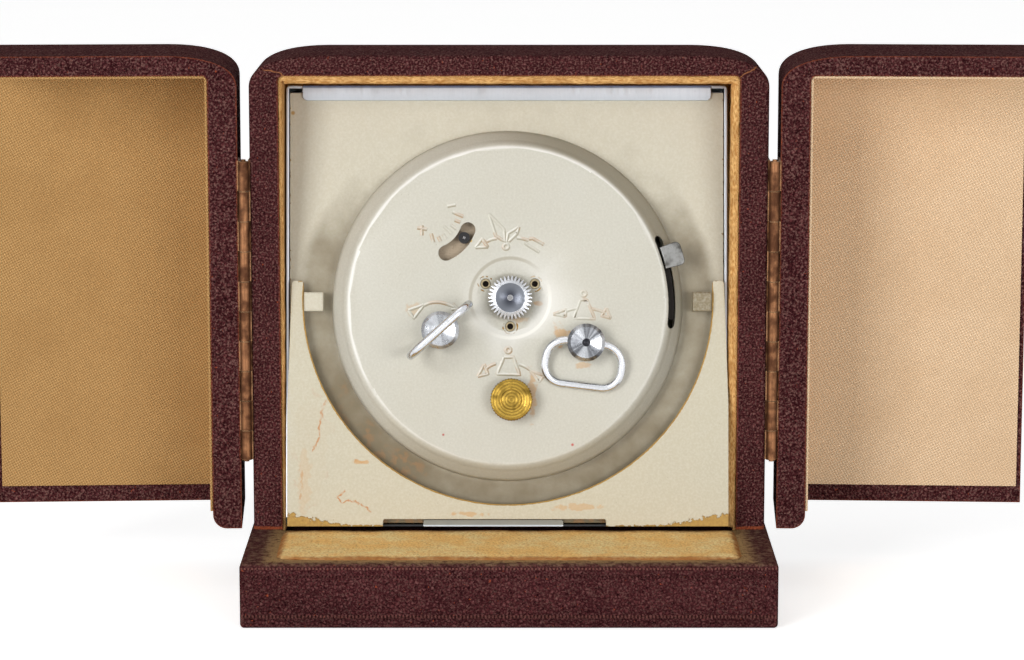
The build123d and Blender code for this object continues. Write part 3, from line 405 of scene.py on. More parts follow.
def build_cloth():
    """Woven cloth: threads both ways, one riding over the other by turns, with slubs and loose fibres."""
    given, out = group("cloth", "Color Height", Thread=0.3, Light=paint(205, 172, 128),
                       Dark=paint(142, 108, 70))
    place = given["Place"]
    x, y, z = axes(place)
    slub = times(noise(placed(place, (3, 3, 0.25)), 1.0, 3.0), 0.8)
    turns = calc("DIVIDE", FULL_TURN, given["Thread"])
    across = plus(times(plus(x, y), turns), slub)
    up = times(z, turns)
    half = times(up, 0.5)
    one = calc("SINE", plus(across, half))
    other = calc("SINE", minus(times(across, 0.5), up))
    height = added(one, 0.32, added(other, 0.32, 0.5))
    fuzz = noise(placed(place, (6, 6, 1.2)), 1.0, 4.0)
    height = added(fuzz, 0.5, height)
    tone = mixed(span(height, 0.2, 1.3), given["Dark"], given["Light"])
    blotch = span(noise(place, 0.12, 5.0), 0.35, 0.75, 0.0, 0.35)
    tone = mixed(blotch, tone, given["Dark"])
    soil = ragged(place, 0.5, 5.0, 0.8, 0.0)
    tone = mixed(span(soil, 0.1, 1.1), tone, paint(92, 62, 44))
    feed(tone, out["Color"])
    feed(height, out["Height"])


def build_tarnish():
    """Aged bare metal: clouds of tarnish, darker specks and fine rub marks along one way."""
    given, out = group("tarnish", "Color Height Roughness", Bright=paint(200, 200, 196),
                       Dull=paint(120, 112, 96), Amount=0.5, Grain=(1, 1, 12), Least=0.2)
    place = given["Place"]
    cloud = noise(place, 0.5, 6.0)
    spots = span(noise(place, 3.0, 3.0), 0.6, 0.7)
    rub = noise(vector("MULTIPLY", place, given["Grain"]), 1.0, 3.0)
    dull = span(plus(cloud, minus(given["Amount"], 0.5)), 0.4, 0.75)
    dull = larger(dull, times(spots, given["Amount"]))
    tone = mixed(dull, given["Bright"], given["Dull"])
    feed(mixed(span(rub, 0.35, 0.7, 0.0, 0.14), tone, given["Dull"]), out["Color"])
    feed(rub, out["Height"])
    rough = added(span(rub, 0.3, 0.8), 0.15, given["Least"])
    feed(added(dull, 0.25, rough), out["Roughness"])


# Leather finishes
def crease(mm, ends, width, waver=0.9, deep=2.0):
    """1 along a wavering line between two places of the front plane, falling to 0 over a width."""
    (x0, z0), (x1, z1) = ends
    length = math.hypot(x1 - x0, z1 - z0)
    way = ((x1 - x0) / length, 0, (z1 - z0) / length)
    away = vector("SUBTRACT", mm, (x0, 0, z0))
    along = vector("DOT_PRODUCT", away, way)
    across = vector("DOT_PRODUCT", away, (-way[2], 0, way[0]))
    drift = minus(noise(mm, 0.9, 4.0), 0.5)
    off = calc("ABSOLUTE", added(drift, waver, across))
    line = times(span(off, width, width * 0.2), span(axes(mm)[1], deep, deep - 0.5))
    past = times(span(along, -0.2, 0.3), span(along, length + 0.2, length - 0.3))
    return times(line, past)


def make_leather(name, wear_lines=(), tooled=False, creases=(), grit=1.0, skin=(74, 34, 37)):
    """Leather with rubbed edges; wear lines are (middle, reach) boxes in millimetres, creases run between two
    places of the front. Tooled leather has dust on its top and beaded lines along its front, dark between the
    beads, with a painted highlight on each bead."""
    made, mm = material(name, in_mm, Specular_IOR_Level=0.004)
    wear = span(edge_of(0.7), 0.0, 0.35)
    for middle, reach in wear_lines:
        off = vector("ABSOLUTE", vector("SUBTRACT", vector("ABSOLUTE", mm), middle))
        box = vector("DIVIDE", off, reach)
        wear = larger(wear, span(vector("LENGTH", box), 1.3, 0.5))
    hide = use("hide", Place=mm, Wear=wear, Grit=grit, Skin=paint(*skin))
    height = hide["Height"]
    colour = hide["Color"]
    for ends in creases:
        line = crease(mm, ends, 0.2)
        colour = mixed(times(line, 0.8), colour, paint(178, 116, 78))
        height = added(line, -1.2, height)
    if tooled:
        x, y, z = axes(mm)
        beside = minus(calc("ABSOLUTE", x), 38.7)
        ahead = minus(-23.1, y)
        near = span(larger(beside, ahead), 3.6, 0.0)
        cloud = noise(mm, 0.9, 6.0)
        dust = times(span(added(near, 0.22, cloud), 0.42, 0.72, 0.1, 0.85), span(z, 10.4, 10.8))
        colour = mixed(dust, colour, mixed(near, paint(130, 100, 84), paint(186, 152, 104)))
        beads = calc("ABSOLUTE", calc("SINE", times(x, 5.3)))
        front = span(y, -25.4, -25.7)
        for level, half, bead_highlight in TOOLED_LINES:
            line = times(span(calc("ABSOLUTE", minus(z, level)), half, half * 0.3), front)
            raised = times(line, beads)
            height = added(line, -1.1, height)
            height = added(raised, 1.7, height)
            # Dark along the tooled line between the beads, and a painted highlight on the beads
            colour = coats(colour,
                           (times(minus(line, raised), 0.75), paint(36, 10, 16)),
                           (times(raised, bead_highlight), paint(164, 108, 98)))
    return finished(made, colour, height, 0.2, Roughness=hide["Roughness"])


# Painted sheet finishes
def make_paint(name, stains=(), soiling_and_shade=None, chips=None, edge=0.35, tint=(214, 208, 188), lines=(), smudges=(),
               painted_shading=0.0):
    """Cream enamel; stains and smudges are (x, z, reach x, reach z, strength), lines are brown tide marks as
    (path, width, strength); a mask of soiling and painted shade and one of chips can be given, and the painted
    shading strength lays a painted highlight and painted shade on the pressed steps."""
    made, mm = material(name, in_clock_mm, Coat_Roughness=0.3)
    chip = times(span(edge_of(0.22), 0.02, 0.3), edge)
    if chips:
        chip = larger(chip, chips(mm))
    # The mask given for soiling carries painted shade as well
    soil = soiling_and_shade(mm) if soiling_and_shade else 0.0
    coat = use("coat", Place=mm, Paint=paint(*tint), Dirt=soil, Chip=chip)
    colour = coat["Color"]
    for x, z, reach_x, reach_z, strength in stains:
        tide = use("tide", Place=mm, Middle=(x, 0, z), Reach=(reach_x, 50, reach_z))
        colour = coats(colour,
                       (times(tide["Inside"], 0.2 * strength), paint(196, 158, 104)),
                       (times(tide["Rim"], 0.75 * strength), paint(186, 122, 62)))
    for path, width, strength in lines:
        mark = 0.0
        for ends in zip(path[:-1], path[1:]):
            mark = larger(mark, crease(mm, ends, width, 1.6, 50.0))
        fade = span(noise(mm, 0.8, 3.0), 0.32, 0.55, 0.2, 1.0)
        mark = times(mark, times(fade, strength))
        colour = mixed(mark, colour, paint(192, 126, 62))
    for x, z, reach_x, reach_z, strength in smudges:
        away = vector("DIVIDE", vector("SUBTRACT", mm, (x, 0, z)), (reach_x, 60, reach_z))
        patch = times(span(ragged(mm, 0.9, 6.0, 2.4, vector("LENGTH", away)), 1.0, 0.55), strength)
        colour = mixed(patch, colour, paint(204, 156, 92))
    # Painted light and shade: a painted highlight along the shoulder's inner ridge, painted shade on slopes
    # facing up and right and on slopes facing down
    if painted_shading:
        facing = normal()
        tilt = vector("DOT_PRODUCT", facing, (0.0, -0.985, 0.174))
        upper = vector("DOT_PRODUCT", facing, (-0.55, 0.0, 0.83))
        ridge = times(span(tilt, 0.997, 0.97), span(tilt, 0.78, 0.94))
        ridge = times(ridge, span(upper, -0.1, 0.3, 0.15, 0.75 * painted_shading))
        away = span(vector("DOT_PRODUCT", facing, (0.8, 0.0, 0.6)), 0.35, 0.75, 0.0, 0.6 * painted_shading)
        painted_lower_shade = span(upper, 0.02, -0.35, 0.0, 0.3 * painted_shading)
        colour = coats(colour,
                       (larger(away, painted_lower_shade), paint(132, 124, 100)),
                       (ridge, paint(252, 250, 244)))
        # A painted highlight on the dish rim's lower right, painted shade on its upper left
        rim = times(ring_mask(mm, CENTRE, DISH + 0.1, 0.42), painted_shading)
        side = vector("DOT_PRODUCT", vector("NORMALIZE", off_axis(mm, CENTRE)), (0.64, 0.0, -0.77))
        colour = coats(colour,
                       (times(rim, span(side, 0.1, 0.9, 0.0, 0.75)), paint(250, 247, 238)),
                       (times(rim, span(side, 0.1, -0.7, 0.0, 0.5)), paint(150, 138, 110)))
    for x, z, reach, *speck in SPECKS:
        colour = mixed(times(ring_mask(mm, (x, z), 0.0, reach), 0.85), colour, paint(*speck))
    return finished(made, colour, coat["Height"], 0.035, Roughness=coat["Roughness"], Metallic=coat["Bare"])


def make_lug():
    """The lugs' enamel, the right one rubbed to darker olive; their bevels painted darker, partly as shade and
    partly as paint rubbed to dull olive metal.
    """
    made, mm = material("lug_paint", in_clock_mm)
    right = span(axes(mm)[0], 0.0, 1.0)
    coat = use("coat", Place=mm, Paint=mixed(right, paint(208, 201, 180), paint(120, 104, 68)))
    # The bevels painted darker: partly painted shade, partly rubbed paint, most on the right lug
    bevel = times(span(edge_of(0.6), 0.02, 0.2), added(right, 0.5, 0.4))
    worn = mixed(noise(mm, 1.6, 4.0), paint(132, 118, 84), paint(96, 74, 48))
    return finished(made, mixed(bevel, coat["Color"], worn), coat["Height"], 0.03,
                    Roughness=coat["Roughness"])


def ring_mask(mm, middle, radius, width):
    """1 on a circle in the clock's plane, falling to 0 over a width."""
    off = calc("ABSOLUTE", minus(vector("LENGTH", off_axis(mm, middle)), radius))
    return span(off, width, width * 0.3)


def plate_dirt(mm):
    """Painted shade and soiling on the plate between drum and strut, most at the bottom and lower left, and
    painted shade along the middle of the plate's foot.
    """
    x, y, z = axes(mm)
    # Painted shade and soiling in the ring between drum and strut, most at the bottom; painted shade at the
    # middle of the foot
    band = ring_mask(mm, DRUM, 32.6, 5.2)
    low = plus(span(z, 64.0, 46.0, 0.25, 0.84), span(z, 24.0, 8.0, 0.0, 0.12))
    left = times(span(x, -8.0, -20.0, 0.0, 0.2), span(z, 32.0, 24.0))
    notch = times(span(z, 2.0, 1.6), span(calc("ABSOLUTE", x), 24.0, 22.0))
    return plus(times(band, plus(low, left)), times(notch, 1.5))


def plate_chips(mm):
    """Paint worn off along the plate's upright sides."""
    return span(calc("ABSOLUTE", axes(mm)[0]), 36.6, 37.4, 0.0, 0.45)


def strut_chips(mm):
    """Paint worn to brass along the round cut, at the horn tips and at the two lower corners."""
    x, y, z = axes(mm)
    cut = times(ring_mask(mm, MOUTH, 35.0, 0.34), 0.95)
    corner = span(minus(times(calc("ABSOLUTE", x), 0.2), z), 3.6, 6.4, 0.0, 0.85)
    tip = span(z, 41.4, 42.3, 0.0, 0.55)
    foot = span(z, 0.8, 0.2, 0.0, 0.6)
    return larger(cut, corner, tip, foot)


def post_places():
    """Middles of the three post holes, in the clock's plane."""
    turns = np.radians([30.0, 150.0, 270.0])
    return CENTRE + POST_CIRCLE * np.stack([np.cos(turns), np.sin(turns)], -1)


def drum_chips(mm):
    """Brass arcs on the far side of the three post holes."""
    mask = 0.0
    for hole in post_places():
        mask = larger(mask, ring_mask(mm, hole, 1.25, 0.25))
    far = minus(1.0, ring_mask(mm, CENTRE, 0.0, 5.6))
    return times(times(mask, far), 0.5)


def drum_dirt(mm):
    """Darker round the shoulder's foot and round the setting knob."""
    foot = ring_mask(mm, DRUM, 30.3, 0.7)
    hub = ring_mask(mm, CENTRE, 3.6, 1.2)
    return larger(times(foot, 0.6), times(hub, 0.5))


# Bare metal finishes
def make_metal(name, bright, dull, amount, grain=(1, 1, 12), clock=True, edge_bright=None, depth=0.01,
               metallic=1.0, least=0.2):
    """Tarnished metal, rubbed brighter along its edges where an edge colour is given."""
    made, mm = material(name, in_clock_mm if clock else in_mm, Metallic=metallic)
    skin = use("tarnish", Place=mm, Bright=paint(*bright), Dull=paint(*dull), Amount=amount, Grain=grain,
               Least=least)
    colour = skin["Color"]
    if edge_bright:
        colour = mixed(span(edge_of(0.2), 0.03, 0.3), colour, paint(*edge_bright))
    return finished(made, colour, skin["Height"], depth, Roughness=skin["Roughness"])


def make_nickel():
    """Bright nickel plate with faint upright rub marks; along the folded lip's top runs a painted dark blue
    reflection, the lip is painted darker towards its lower edge as shade, the foot strip is darker, and the foot
    to either side of its middle is painted black as shade.
    """
    made, mm = material("nickel", in_clock_mm, Metallic=1.0)
    x, y, z = axes(mm)
    skin = use("tarnish", Place=mm, Bright=paint(214, 219, 226), Dull=paint(150, 156, 168), Amount=0.12,
               Grain=(1.6, 1.6, 0.2), Least=0.3)
    front = span(y, -0.3, -0.4)
    # A painted dark blue reflection along the fold, and painted shade lower on the lip
    fold_reflection = times(span(z, 75.2, 75.5), front)
    low = times(span(z, 75.0, 73.3), front)
    tone = coats(skin["Color"],
                 (times(low, 0.55), paint(158, 164, 168)),
                 (times(fold_reflection, 0.8), paint(70, 82, 122)))
    foot = times(span(z, 1.6, 1.5), span(z, 0.25, 0.4))
    tone = mixed(times(foot, 0.75), tone, paint(104, 96, 72))
    # Painted black shade on the foot to either side of its middle
    notch = span(calc("ABSOLUTE", plus(x, 2.3)), 11.9, 12.1)
    tone = mixed(times(notch, span(z, 1.7, 1.6, 0.0, 0.95)), tone, paint(24, 22, 22))
    return finished(made, tone, skin["Height"], 0.0008, Roughness=skin["Roughness"])


def make_stop():
    """The alarm finger: worn bright steel outside the drum, painted black as shade where it lies in the slot."""
    made, mm = material("stop_metal", in_clock_mm, Metallic=0.9)
    x, y, z = axes(mm)
    skin = use("tarnish", Place=mm, Bright=paint(138, 138, 136), Dull=paint(70, 68, 64), Amount=0.5,
               Grain=(3, 3, 1), Least=0.28)
    # Painted black shade where the finger lies in the slot
    inside = span(y, DRUM_FACE + 1.1, DRUM_FACE + 1.5)
    rub = span(edge_of(0.3), 0.05, 0.3)
    tone = coats(skin["Color"],
                 (times(rub, 0.7), paint(228, 228, 226)),
                 (inside, paint(30, 27, 25)))
    return finished(made, tone, skin["Height"], 0.01, Roughness=skin["Roughness"])


def make_lever():
    """The rate lever: a black screw head on a dull arm."""
    made, mm = material("rate_lever", in_clock_mm, Metallic=0.3, Roughness=0.35)
    head = ring_mask(mm, RATE_PIN, 0.0, 1.15)
    worn = noise(mm, 1.5, 4.0)
    tone = coats(paint(150, 134, 114),
                 (worn, paint(110, 94, 78)),
                 (span(head, 0.05, 0.15), paint(20, 18, 20)))
    return finished(made, tone, worn, 0.02)


def make_turned(name, middle, bright, dull, amount, pitch=0.09, cup=0.0, depth=0.02, painted_glint=0.0, hole=0.0,
                groove=0.3):
    """Lathe turned metal about an axis of the clock: rings, painted reflections as light and dark wedges out from
    the axis, a polished cup painted darker towards its middle as its reflection, and a hole in the middle painted
    dark as shade."""
    made, mm = material(name, in_clock_mm, Metallic=1.0)
    skin = use("tarnish", Place=mm, Bright=paint(*bright), Dull=paint(*dull), Amount=amount,
               Grain=(1.5, 1.5, 1.5))
    cut = use("turned", Place=mm, Middle=(middle[0], 0, middle[1]), Pitch=pitch)
    colour = mixed(span(cut["Rings"], 0.3, 0.75, 0.0, groove), skin["Color"], paint(*dull))
    # Painted reflection: light and dark wedges out from the axis
    if painted_glint:
        fan = noise(placed(vector("NORMALIZE", off_axis(mm, middle)), (1.7, 1.7, 1.7)), 1.0, 3.0)
        colour = mixed(span(fan, 0.62, 0.38, 0.0, painted_glint), colour, paint(66, 68, 74))
    roughness = plus(skin["Roughness"], 0.04)
    height = cut["Rings"]
    # The cup painted darker towards its middle as its reflection
    if cup:
        inside = span(cut["Radius"], cup + 0.04, cup - 0.04)
        colour = mixed(inside, colour, mixed(span(cut["Radius"], 0.4, cup), paint(60, 62, 70),
                                             paint(126, 130, 138)))
        roughness = larger(roughness, times(inside, 0.34))
        height = times(height, span(inside, 0.0, 1.0, 1.0, 0.25))
    # The hole painted dark as shade
    if hole:
        colour = mixed(span(cut["Radius"], hole + 0.05, hole - 0.05), colour, paint(46, 46, 50))
    return finished(made, colour, height, depth, Roughness=roughness)


def make_tubes():
    """Threaded brass tubes: a worn rim round a bore painted dark as shade at each of the three posts."""
    made, mm = material("post_brass", in_clock_mm, Metallic=0.8, Roughness=0.4)
    # The bores painted dark as shade
    bore = 0.0
    for hole in post_places():
        bore = larger(bore, ring_mask(mm, hole, 0.0, 0.62))
    worn = noise(mm, 2.4, 3.0)
    tone = coats(paint(196, 182, 150),
                 (worn, paint(112, 96, 66)),
                 (span(bore, 0.02, 0.3), paint(26, 19, 14)))
    return finished(made, tone, worn, 0.03)


# Cloth finishes
def make_cloth(name, thread, light, dark):
    """Woven cloth with threads of a width in millimetres, between a light and a dark colour."""
    made, mm = material(name, in_mm, Roughness=0.95, Specular_IOR_Level=0.1)
    weave = use("cloth", Place=mm, Thread=thread, Light=paint(*light), Dark=paint(*dark))
    return finished(made, weave["Color"], weave["Height"], 0.12)


def make_roll():
    """The lining's padded edge: combed fibres, darker and frayed to its sides, and painted darker as shade deeper
    into the recess.
    """
    made, mm = material("roll_cloth", in_mm, Roughness=0.95, Specular_IOR_Level=0.1)
    x, y, z = axes(mm)
    comb = noise(placed(mm, (4.5, 2.0, 1.4)), 1.0, 6.0)
    cross = noise(placed(mm, (1.4, 2.0, 4.5)), 1.0, 6.0)
    fibre = mixed(span(z, 87.0, 88.0), comb, cross)
    blotch = noise(mm, 0.35, 5.0)
    tone = coats(paint(194, 136, 74),
                 (span(fibre, 0.35, 0.65), paint(240, 194, 128)),
                 (span(blotch, 0.4, 0.7, 0.0, 0.45), paint(156, 104, 52)))
    side = span(calc("ABSOLUTE", x), 38.85, 39.05)
    # Painted shade: darker deeper into the recess, besides the fraying at the sides and top
    deep = span(y, 2.4, 4.5)
    edge = larger(side, span(z, 88.85, 89.15), deep)
    frayed = ragged(mm, 1.6, 4.0, 1.2, edge)
    tone = mixed(span(frayed, 0.3, 1.1, 0.0, 0.75), tone, paint(120, 74, 36))
    return finished(made, tone, fibre, 0.2)


def make_nap(name):
    """Short napped pad: blotches, brushed fibres and darker frayed borders."""
    made, mm = material(name, in_mm, Roughness=0.95, Specular_IOR_Level=0.1)
    x, y, z = axes(mm)
    fibre = noise(placed(mm, (2.2, 1.6, 7)), 1.0, 6.0)
    blotch = noise(mm, 0.22, 6.0)
    speck = span(noise(mm, 2.2, 3.0), 0.56, 0.68)
    tone = coats(paint(255, 208, 130),
                 (span(blotch, 0.3, 0.7), paint(255, 232, 168)),
                 (span(fibre, 0.35, 0.7, 0.0, 0.6), paint(232, 172, 100)),
                 (times(speck, 0.45), paint(150, 96, 50)))
    side = span(calc("ABSOLUTE", x), 36.6, 38.6)
    front = span(y, -21.4, -23.0)
    back = span(y, -6.5, -2.5)
    rim = ragged(mm, 0.9, 5.0, 0.9, larger(side, front, back))
    tone = mixed(span(rim, 0.25, 1.1, 0.0, 0.85), tone, paint(148, 84, 38))
    return finished(made, tone, plus(fibre, blotch), 0.25)


def make_dial():
    """Matt cream dial with faint spots of age."""
    made, mm = material("dial_paint", in_clock_mm, Roughness=0.6)
    age = span(noise(mm, 0.2, 6.0), 0.5, 0.75)
    spots = span(cells(mm, 0.35), 0.09, 0.03)
    tone = coats(paint(226, 220, 200),
                 (times(age, 0.35), paint(204, 190, 156)),
                 (times(spots, 0.4), paint(150, 120, 84)))
    return finished(made, tone, noise(mm, 3.0, 2.0), 0.02)


def make_print():
    """Dark printed ink, a little uneven."""
    made, mm = material("dial_ink", in_clock_mm, Roughness=0.45)
    tone = mixed(noise(mm, 1.6, 3.0), paint(28, 26, 30), paint(54, 48, 46))
    return finished(made, tone)


def make_pane():
    """Clear flat glass with a trace of dust."""
    made, mm = material("window_glass", in_clock_mm, Transmission_Weight=1.0, IOR=1.45)
    dust = span(noise(mm, 0.7, 6.0), 0.55, 0.8)
    return finished(made, mixed(dust, paint(252, 254, 253), paint(240, 242, 240)),
                    Roughness=added(dust, 0.15, 0.03))


def make_emboss():
    """The drum's enamel on a pressed line: darker and partly brown along the ridge's foot, brown stain, a painted
    highlight on the side facing up and left and painted shade on the other side.
    """
    made, mm = material("pressed_line", in_clock_mm)
    across = node("Attribute", attribute_name="across").outputs["Fac"]
    off = calc("ABSOLUTE", across)
    groove = span(off, 0.5, 0.85)
    brown = span(noise(mm, 0.32, 4.0), 0.45, 0.6)
    coat = use("coat", Place=mm, Paint=paint(214, 211, 198))
    tone = mixed(times(groove, added(brown, 0.5, 0.35)), coat["Color"],
                 mixed(brown, paint(160, 150, 124), paint(186, 126, 62)))
    # A painted highlight on the side facing up and left, painted shade on the other
    facing = normal()
    painted_flank_light = vector("DOT_PRODUCT", facing, (-0.55, 0.0, 0.83))
    tone = coats(tone,
                 (span(painted_flank_light, 0.18, -0.25, 0.0, 0.55), paint(140, 128, 98)),
                 (span(painted_flank_light, 0.2, 0.5, 0.0, 0.6), paint(250, 248, 240)),
                 (times(brown, 0.28), paint(184, 132, 70)))
    return finished(made, tone, coat["Height"], 0.03, Roughness=coat["Roughness"])


# Camera and light
def in_scene(name, data):
    """A new object in the scene."""
    made = bpy.data.objects.new(name, data)
    scene.collection.objects.link(made)
    return made


def make_camera():
    """The photograph's camera: its place in metres and how far it looks down, in degrees."""
    data = bpy.data.cameras.new("camera")
    data.sensor_width = SENSOR
    data.lens = FOCAL_PIXELS / PHOTO_WIDTH * SENSOR
    data.clip_start = 0.01
    scene.camera = in_scene("camera", data)
    scene.camera.location = CAMERA
    scene.camera.rotation_euler = (math.radians(90 - CAMERA_DOWN), 0, 0)


def soft_lamp(name, place, size, power):
    """An oblong lamp that faces the clock."""
    data = bpy.data.lights.new(name, "AREA")
    data.shape = "RECTANGLE"
    data.size, data.size_y = size
    data.energy = power
    lamp = in_scene(name, data)
    lamp.location = place
    way = np.array(LAMP_AIM) - place
    flat = math.hypot(way[0], way[1])
    lamp.rotation_euler = (math.atan2(flat, -way[2]), 0, math.atan2(way[1], way[0]) - math.pi / 2)


def seen_directly():
    """1 for rays from the camera and for rays that metal and glass send out."""
    ray = node("LightPath").outputs
    return larger(ray["Is Camera Ray"], ray["Is Glossy Ray"], ray["Is Transmission Ray"])


def make_light():
    for lamp in LAMPS:
        soft_lamp(*lamp)
    world = scene.world = bpy.data.worlds.new("studio")
    world.use_nodes = True
    Shading.tree = world.node_tree
    shader = world.node_tree.nodes["Background"]
    shader.inputs["Color"].default_value = (1, 1, 1, 1)
    feed(span(seen_directly(), 0, 1, 0.3, 1.0), shader.inputs["Strength"])


def make_floor():
    """A pale floor: seen plainly it is white, and it keeps the shadow that the object throws."""
    mesh = bpy.data.meshes.new("floor")
    corners = [(-3.0, -3.0, 0), (3.0, -3.0, 0), (3.0, 3.0, 0), (-3.0, 3.0, 0)]
    mesh.from_pydata(corners, [], [(0, 1, 2, 3)])
    made, _ = material("pale_floor", Roughness=0.8, Specular_IOR_Level=0.2)
    sockets = made.node_tree.nodes["Principled BSDF"].inputs
    sockets["Base Color"].default_value = (0.9, 0.9, 0.9, 1)
    sockets["Emission Color"].default_value = (1, 1, 1, 1)
    feed(times(seen_directly(), 0.64), sockets["Emission Strength"])
    mesh.materials.append(made)
    in_scene("floor", mesh)


# A CAD node's mesh, merged, with its edges eased: it stands for the node
def places_of(mesh):
    """The mesh's corners in world millimetres."""
    flat = np.empty(len(mesh.vertices) * 3)
    mesh.vertices.foreach_get("co", flat)
    return flat.reshape(-1, 3) / MM


def on_arch(place, side, depths, rounds):
    """Where corners of the leather's outline belong: on an ellipse drawn a little fuller, moved in where
    the front and back edges are rounded. Gives the places, which corners lie near, and their turn."""
    u = side * place[:, 0] - ARCH[0]
    v = place[:, 2] - ARCH[1]
    inset = np.zeros(len(place))
    for end, way, r in ((depths[0], 1, rounds[0]), (depths[1], -1, rounds[1])):
        inside = ((place[:, 1] - end) * way).clip(0, r)
        inset += r - np.sqrt(r * r - (r - inside) ** 2)
    turn = np.arctan2(v / ARCH_DROP, u / ARCH_ACROSS).clip(0, math.pi / 2)
    out = np.stack([np.cos(turn) / ARCH_ACROSS, np.sin(turn) / ARCH_DROP], -1)
    out /= np.linalg.norm(out, axis=1)[:, None]
    fuller = np.stack([ARCH_ACROSS * np.cos(turn) ** ARCH_FULLNESS,
                       ARCH_DROP * np.sin(turn) ** ARCH_FULLNESS], -1)
    plain = np.stack([ARCH_ACROSS * np.cos(turn), ARCH_DROP * np.sin(turn)], -1)
    off = np.hypot(plain[:, 0] - inset * out[:, 0] - u, plain[:, 1] - inset * out[:, 1] - v)
    near = (off < 0.9) & (u > -0.01) & (v > -0.01)
    target = place.copy()
    target[:, 0] = side * (ARCH[0] + fuller[:, 0] - inset * out[:, 0])
    target[:, 2] = ARCH[1] + fuller[:, 1] - inset * out[:, 1]
    return target, near, turn


def fine_arch(mesh, sides, swing, depths, rounds):
    """Arched corners made finer: each chord of the outline is cut in five and moved onto the curve."""
    def closed(place, way):
        """Turned about the hinge by the door's opening, as if the door were closed."""
        if not swing:
            return place
        angle = math.radians(swing * way)
        axis = np.array([sides[0] * HINGE[0], HINGE[1], 0.0])
        x, y, z = (place - axis).T
        return np.stack([x * math.cos(angle) - y * math.sin(angle), x * math.sin(angle) + y * math.cos(angle),
                         z], -1) + axis
    for side in sides:
        for step in (0, 1):
            target, near, turn = on_arch(closed(places_of(mesh), 1), side, depths, rounds)
            if step:
                place = closed(places_of(mesh), 1)
                place[near] = target[near]
                mesh.vertices.foreach_set("co", (closed(place, -1) * MM).ravel())
            else:
                ends = np.empty(len(mesh.edges) * 2, int)
                mesh.edges.foreach_get("vertices", ends)
                first, last = ends.reshape(-1, 2).T
                chord = near[first] & near[last] & (np.abs(turn[first] - turn[last]) > 0.02)
                work = bmesh.new()
                work.from_mesh(mesh)
                work.edges.ensure_lookup_table()
                bmesh.ops.subdivide_edges(work, edges=[work.edges[i] for i in np.flatnonzero(chord)], cuts=5,
                                          use_grid_fill=True)
                work.to_mesh(mesh)
                work.free()


def coned_shoulder(mesh):
    """The drum's rounded shoulder made flatter, each corner of it moved most of the way from the quarter
    circle to its chord, and the dish's step made a slope."""
    place = places_of(mesh) - FOOT
    y = place[:, 1] * math.cos(LEAN) - place[:, 2] * math.sin(LEAN)
    z = place[:, 1] * math.sin(LEAN) + place[:, 2] * math.cos(LEAN)
    around = np.stack([place[:, 0] - DRUM[0], z - DRUM[1]], -1)
    radius = np.linalg.norm(around, axis=1)
    out = radius - (DRUM_RADIUS - SHOULDER)
    up = DRUM_FACE + SHOULDER - y
    on = (out > 0.001) & (up > 0.001) & (np.hypot(out, up) < SHOULDER + 0.05) & (np.hypot(out, up) > 1.0)
    turn = np.arctan2(out, up)
    weight = np.interp(np.degrees(turn), [0, 35], [0.35, 0.8])
    pull = np.where(on, 1 - weight * (1 - 1 / (np.sin(turn) + np.cos(turn))), 1.0)
    new_radius = np.where(on, DRUM_RADIUS - SHOULDER + out * pull, radius)
    flat = around * (new_radius / radius.clip(1e-6))[:, None]
    new_y = np.where(on, DRUM_FACE + SHOULDER - up * pull, y)
    flat = flat + DRUM - CENTRE
    reach = np.linalg.norm(flat, axis=1)
    rim = np.abs(reach - DISH) < 0.06
    reach_new = np.where(rim & (np.abs(y - DRUM_FACE) < 0.05), DISH + 0.35, reach)
    reach_new = np.where(rim & (np.abs(y - DRUM_FACE - DISH_DEPTH) < 0.05), DISH - 0.85, reach_new)
    flat = flat * (reach_new / reach.clip(1e-6))[:, None] + CENTRE
    moved = in_clock(np.stack([flat[:, 0], new_y, flat[:, 1]], -1))
    mesh.vertices.foreach_set("co", moved.ravel())


def eased(name, width, finish, smooth=32.0, segments=3, reshape=None):
    """A piece in a node's stead: its mesh merged, with edges sharper than an angle rounded to a width."""
    source = nodes[name]
    mesh = source.data.copy()
    mesh.materials.clear()
    mesh.materials.append(finish)
    piece = in_scene(name + "_piece", mesh)
    work = bmesh.new()
    work.from_mesh(mesh)
    bmesh.ops.remove_doubles(work, verts=work.verts, dist=2e-6)
    bmesh.ops.dissolve_limit(work, angle_limit=math.radians(0.5), verts=work.verts, edges=work.edges)
    for face in work.faces:
        face.smooth = True
    work.to_mesh(mesh)
    work.free()
    if reshape:
        reshape(mesh)
    mesh.set_sharp_from_angle(angle=math.radians(smooth))
    if width:
        bevel = piece.modifiers.new("ease", "BEVEL")
        bevel.width = width * MM
        bevel.segments = segments
        bevel.limit_method = "ANGLE"
        bevel.angle_limit = math.radians(smooth)
        bevel.harden_normals = True
        bevel.use_clamp_overlap = True
    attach(piece, source["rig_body"])
    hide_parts(name)
    return piece


def dressed(finish, *names):
    """Gives nodes a finish and leaves their meshes as they are."""
    for name in names:
        mesh = nodes[name].data
        mesh.materials.clear()
        mesh.materials.append(finish)


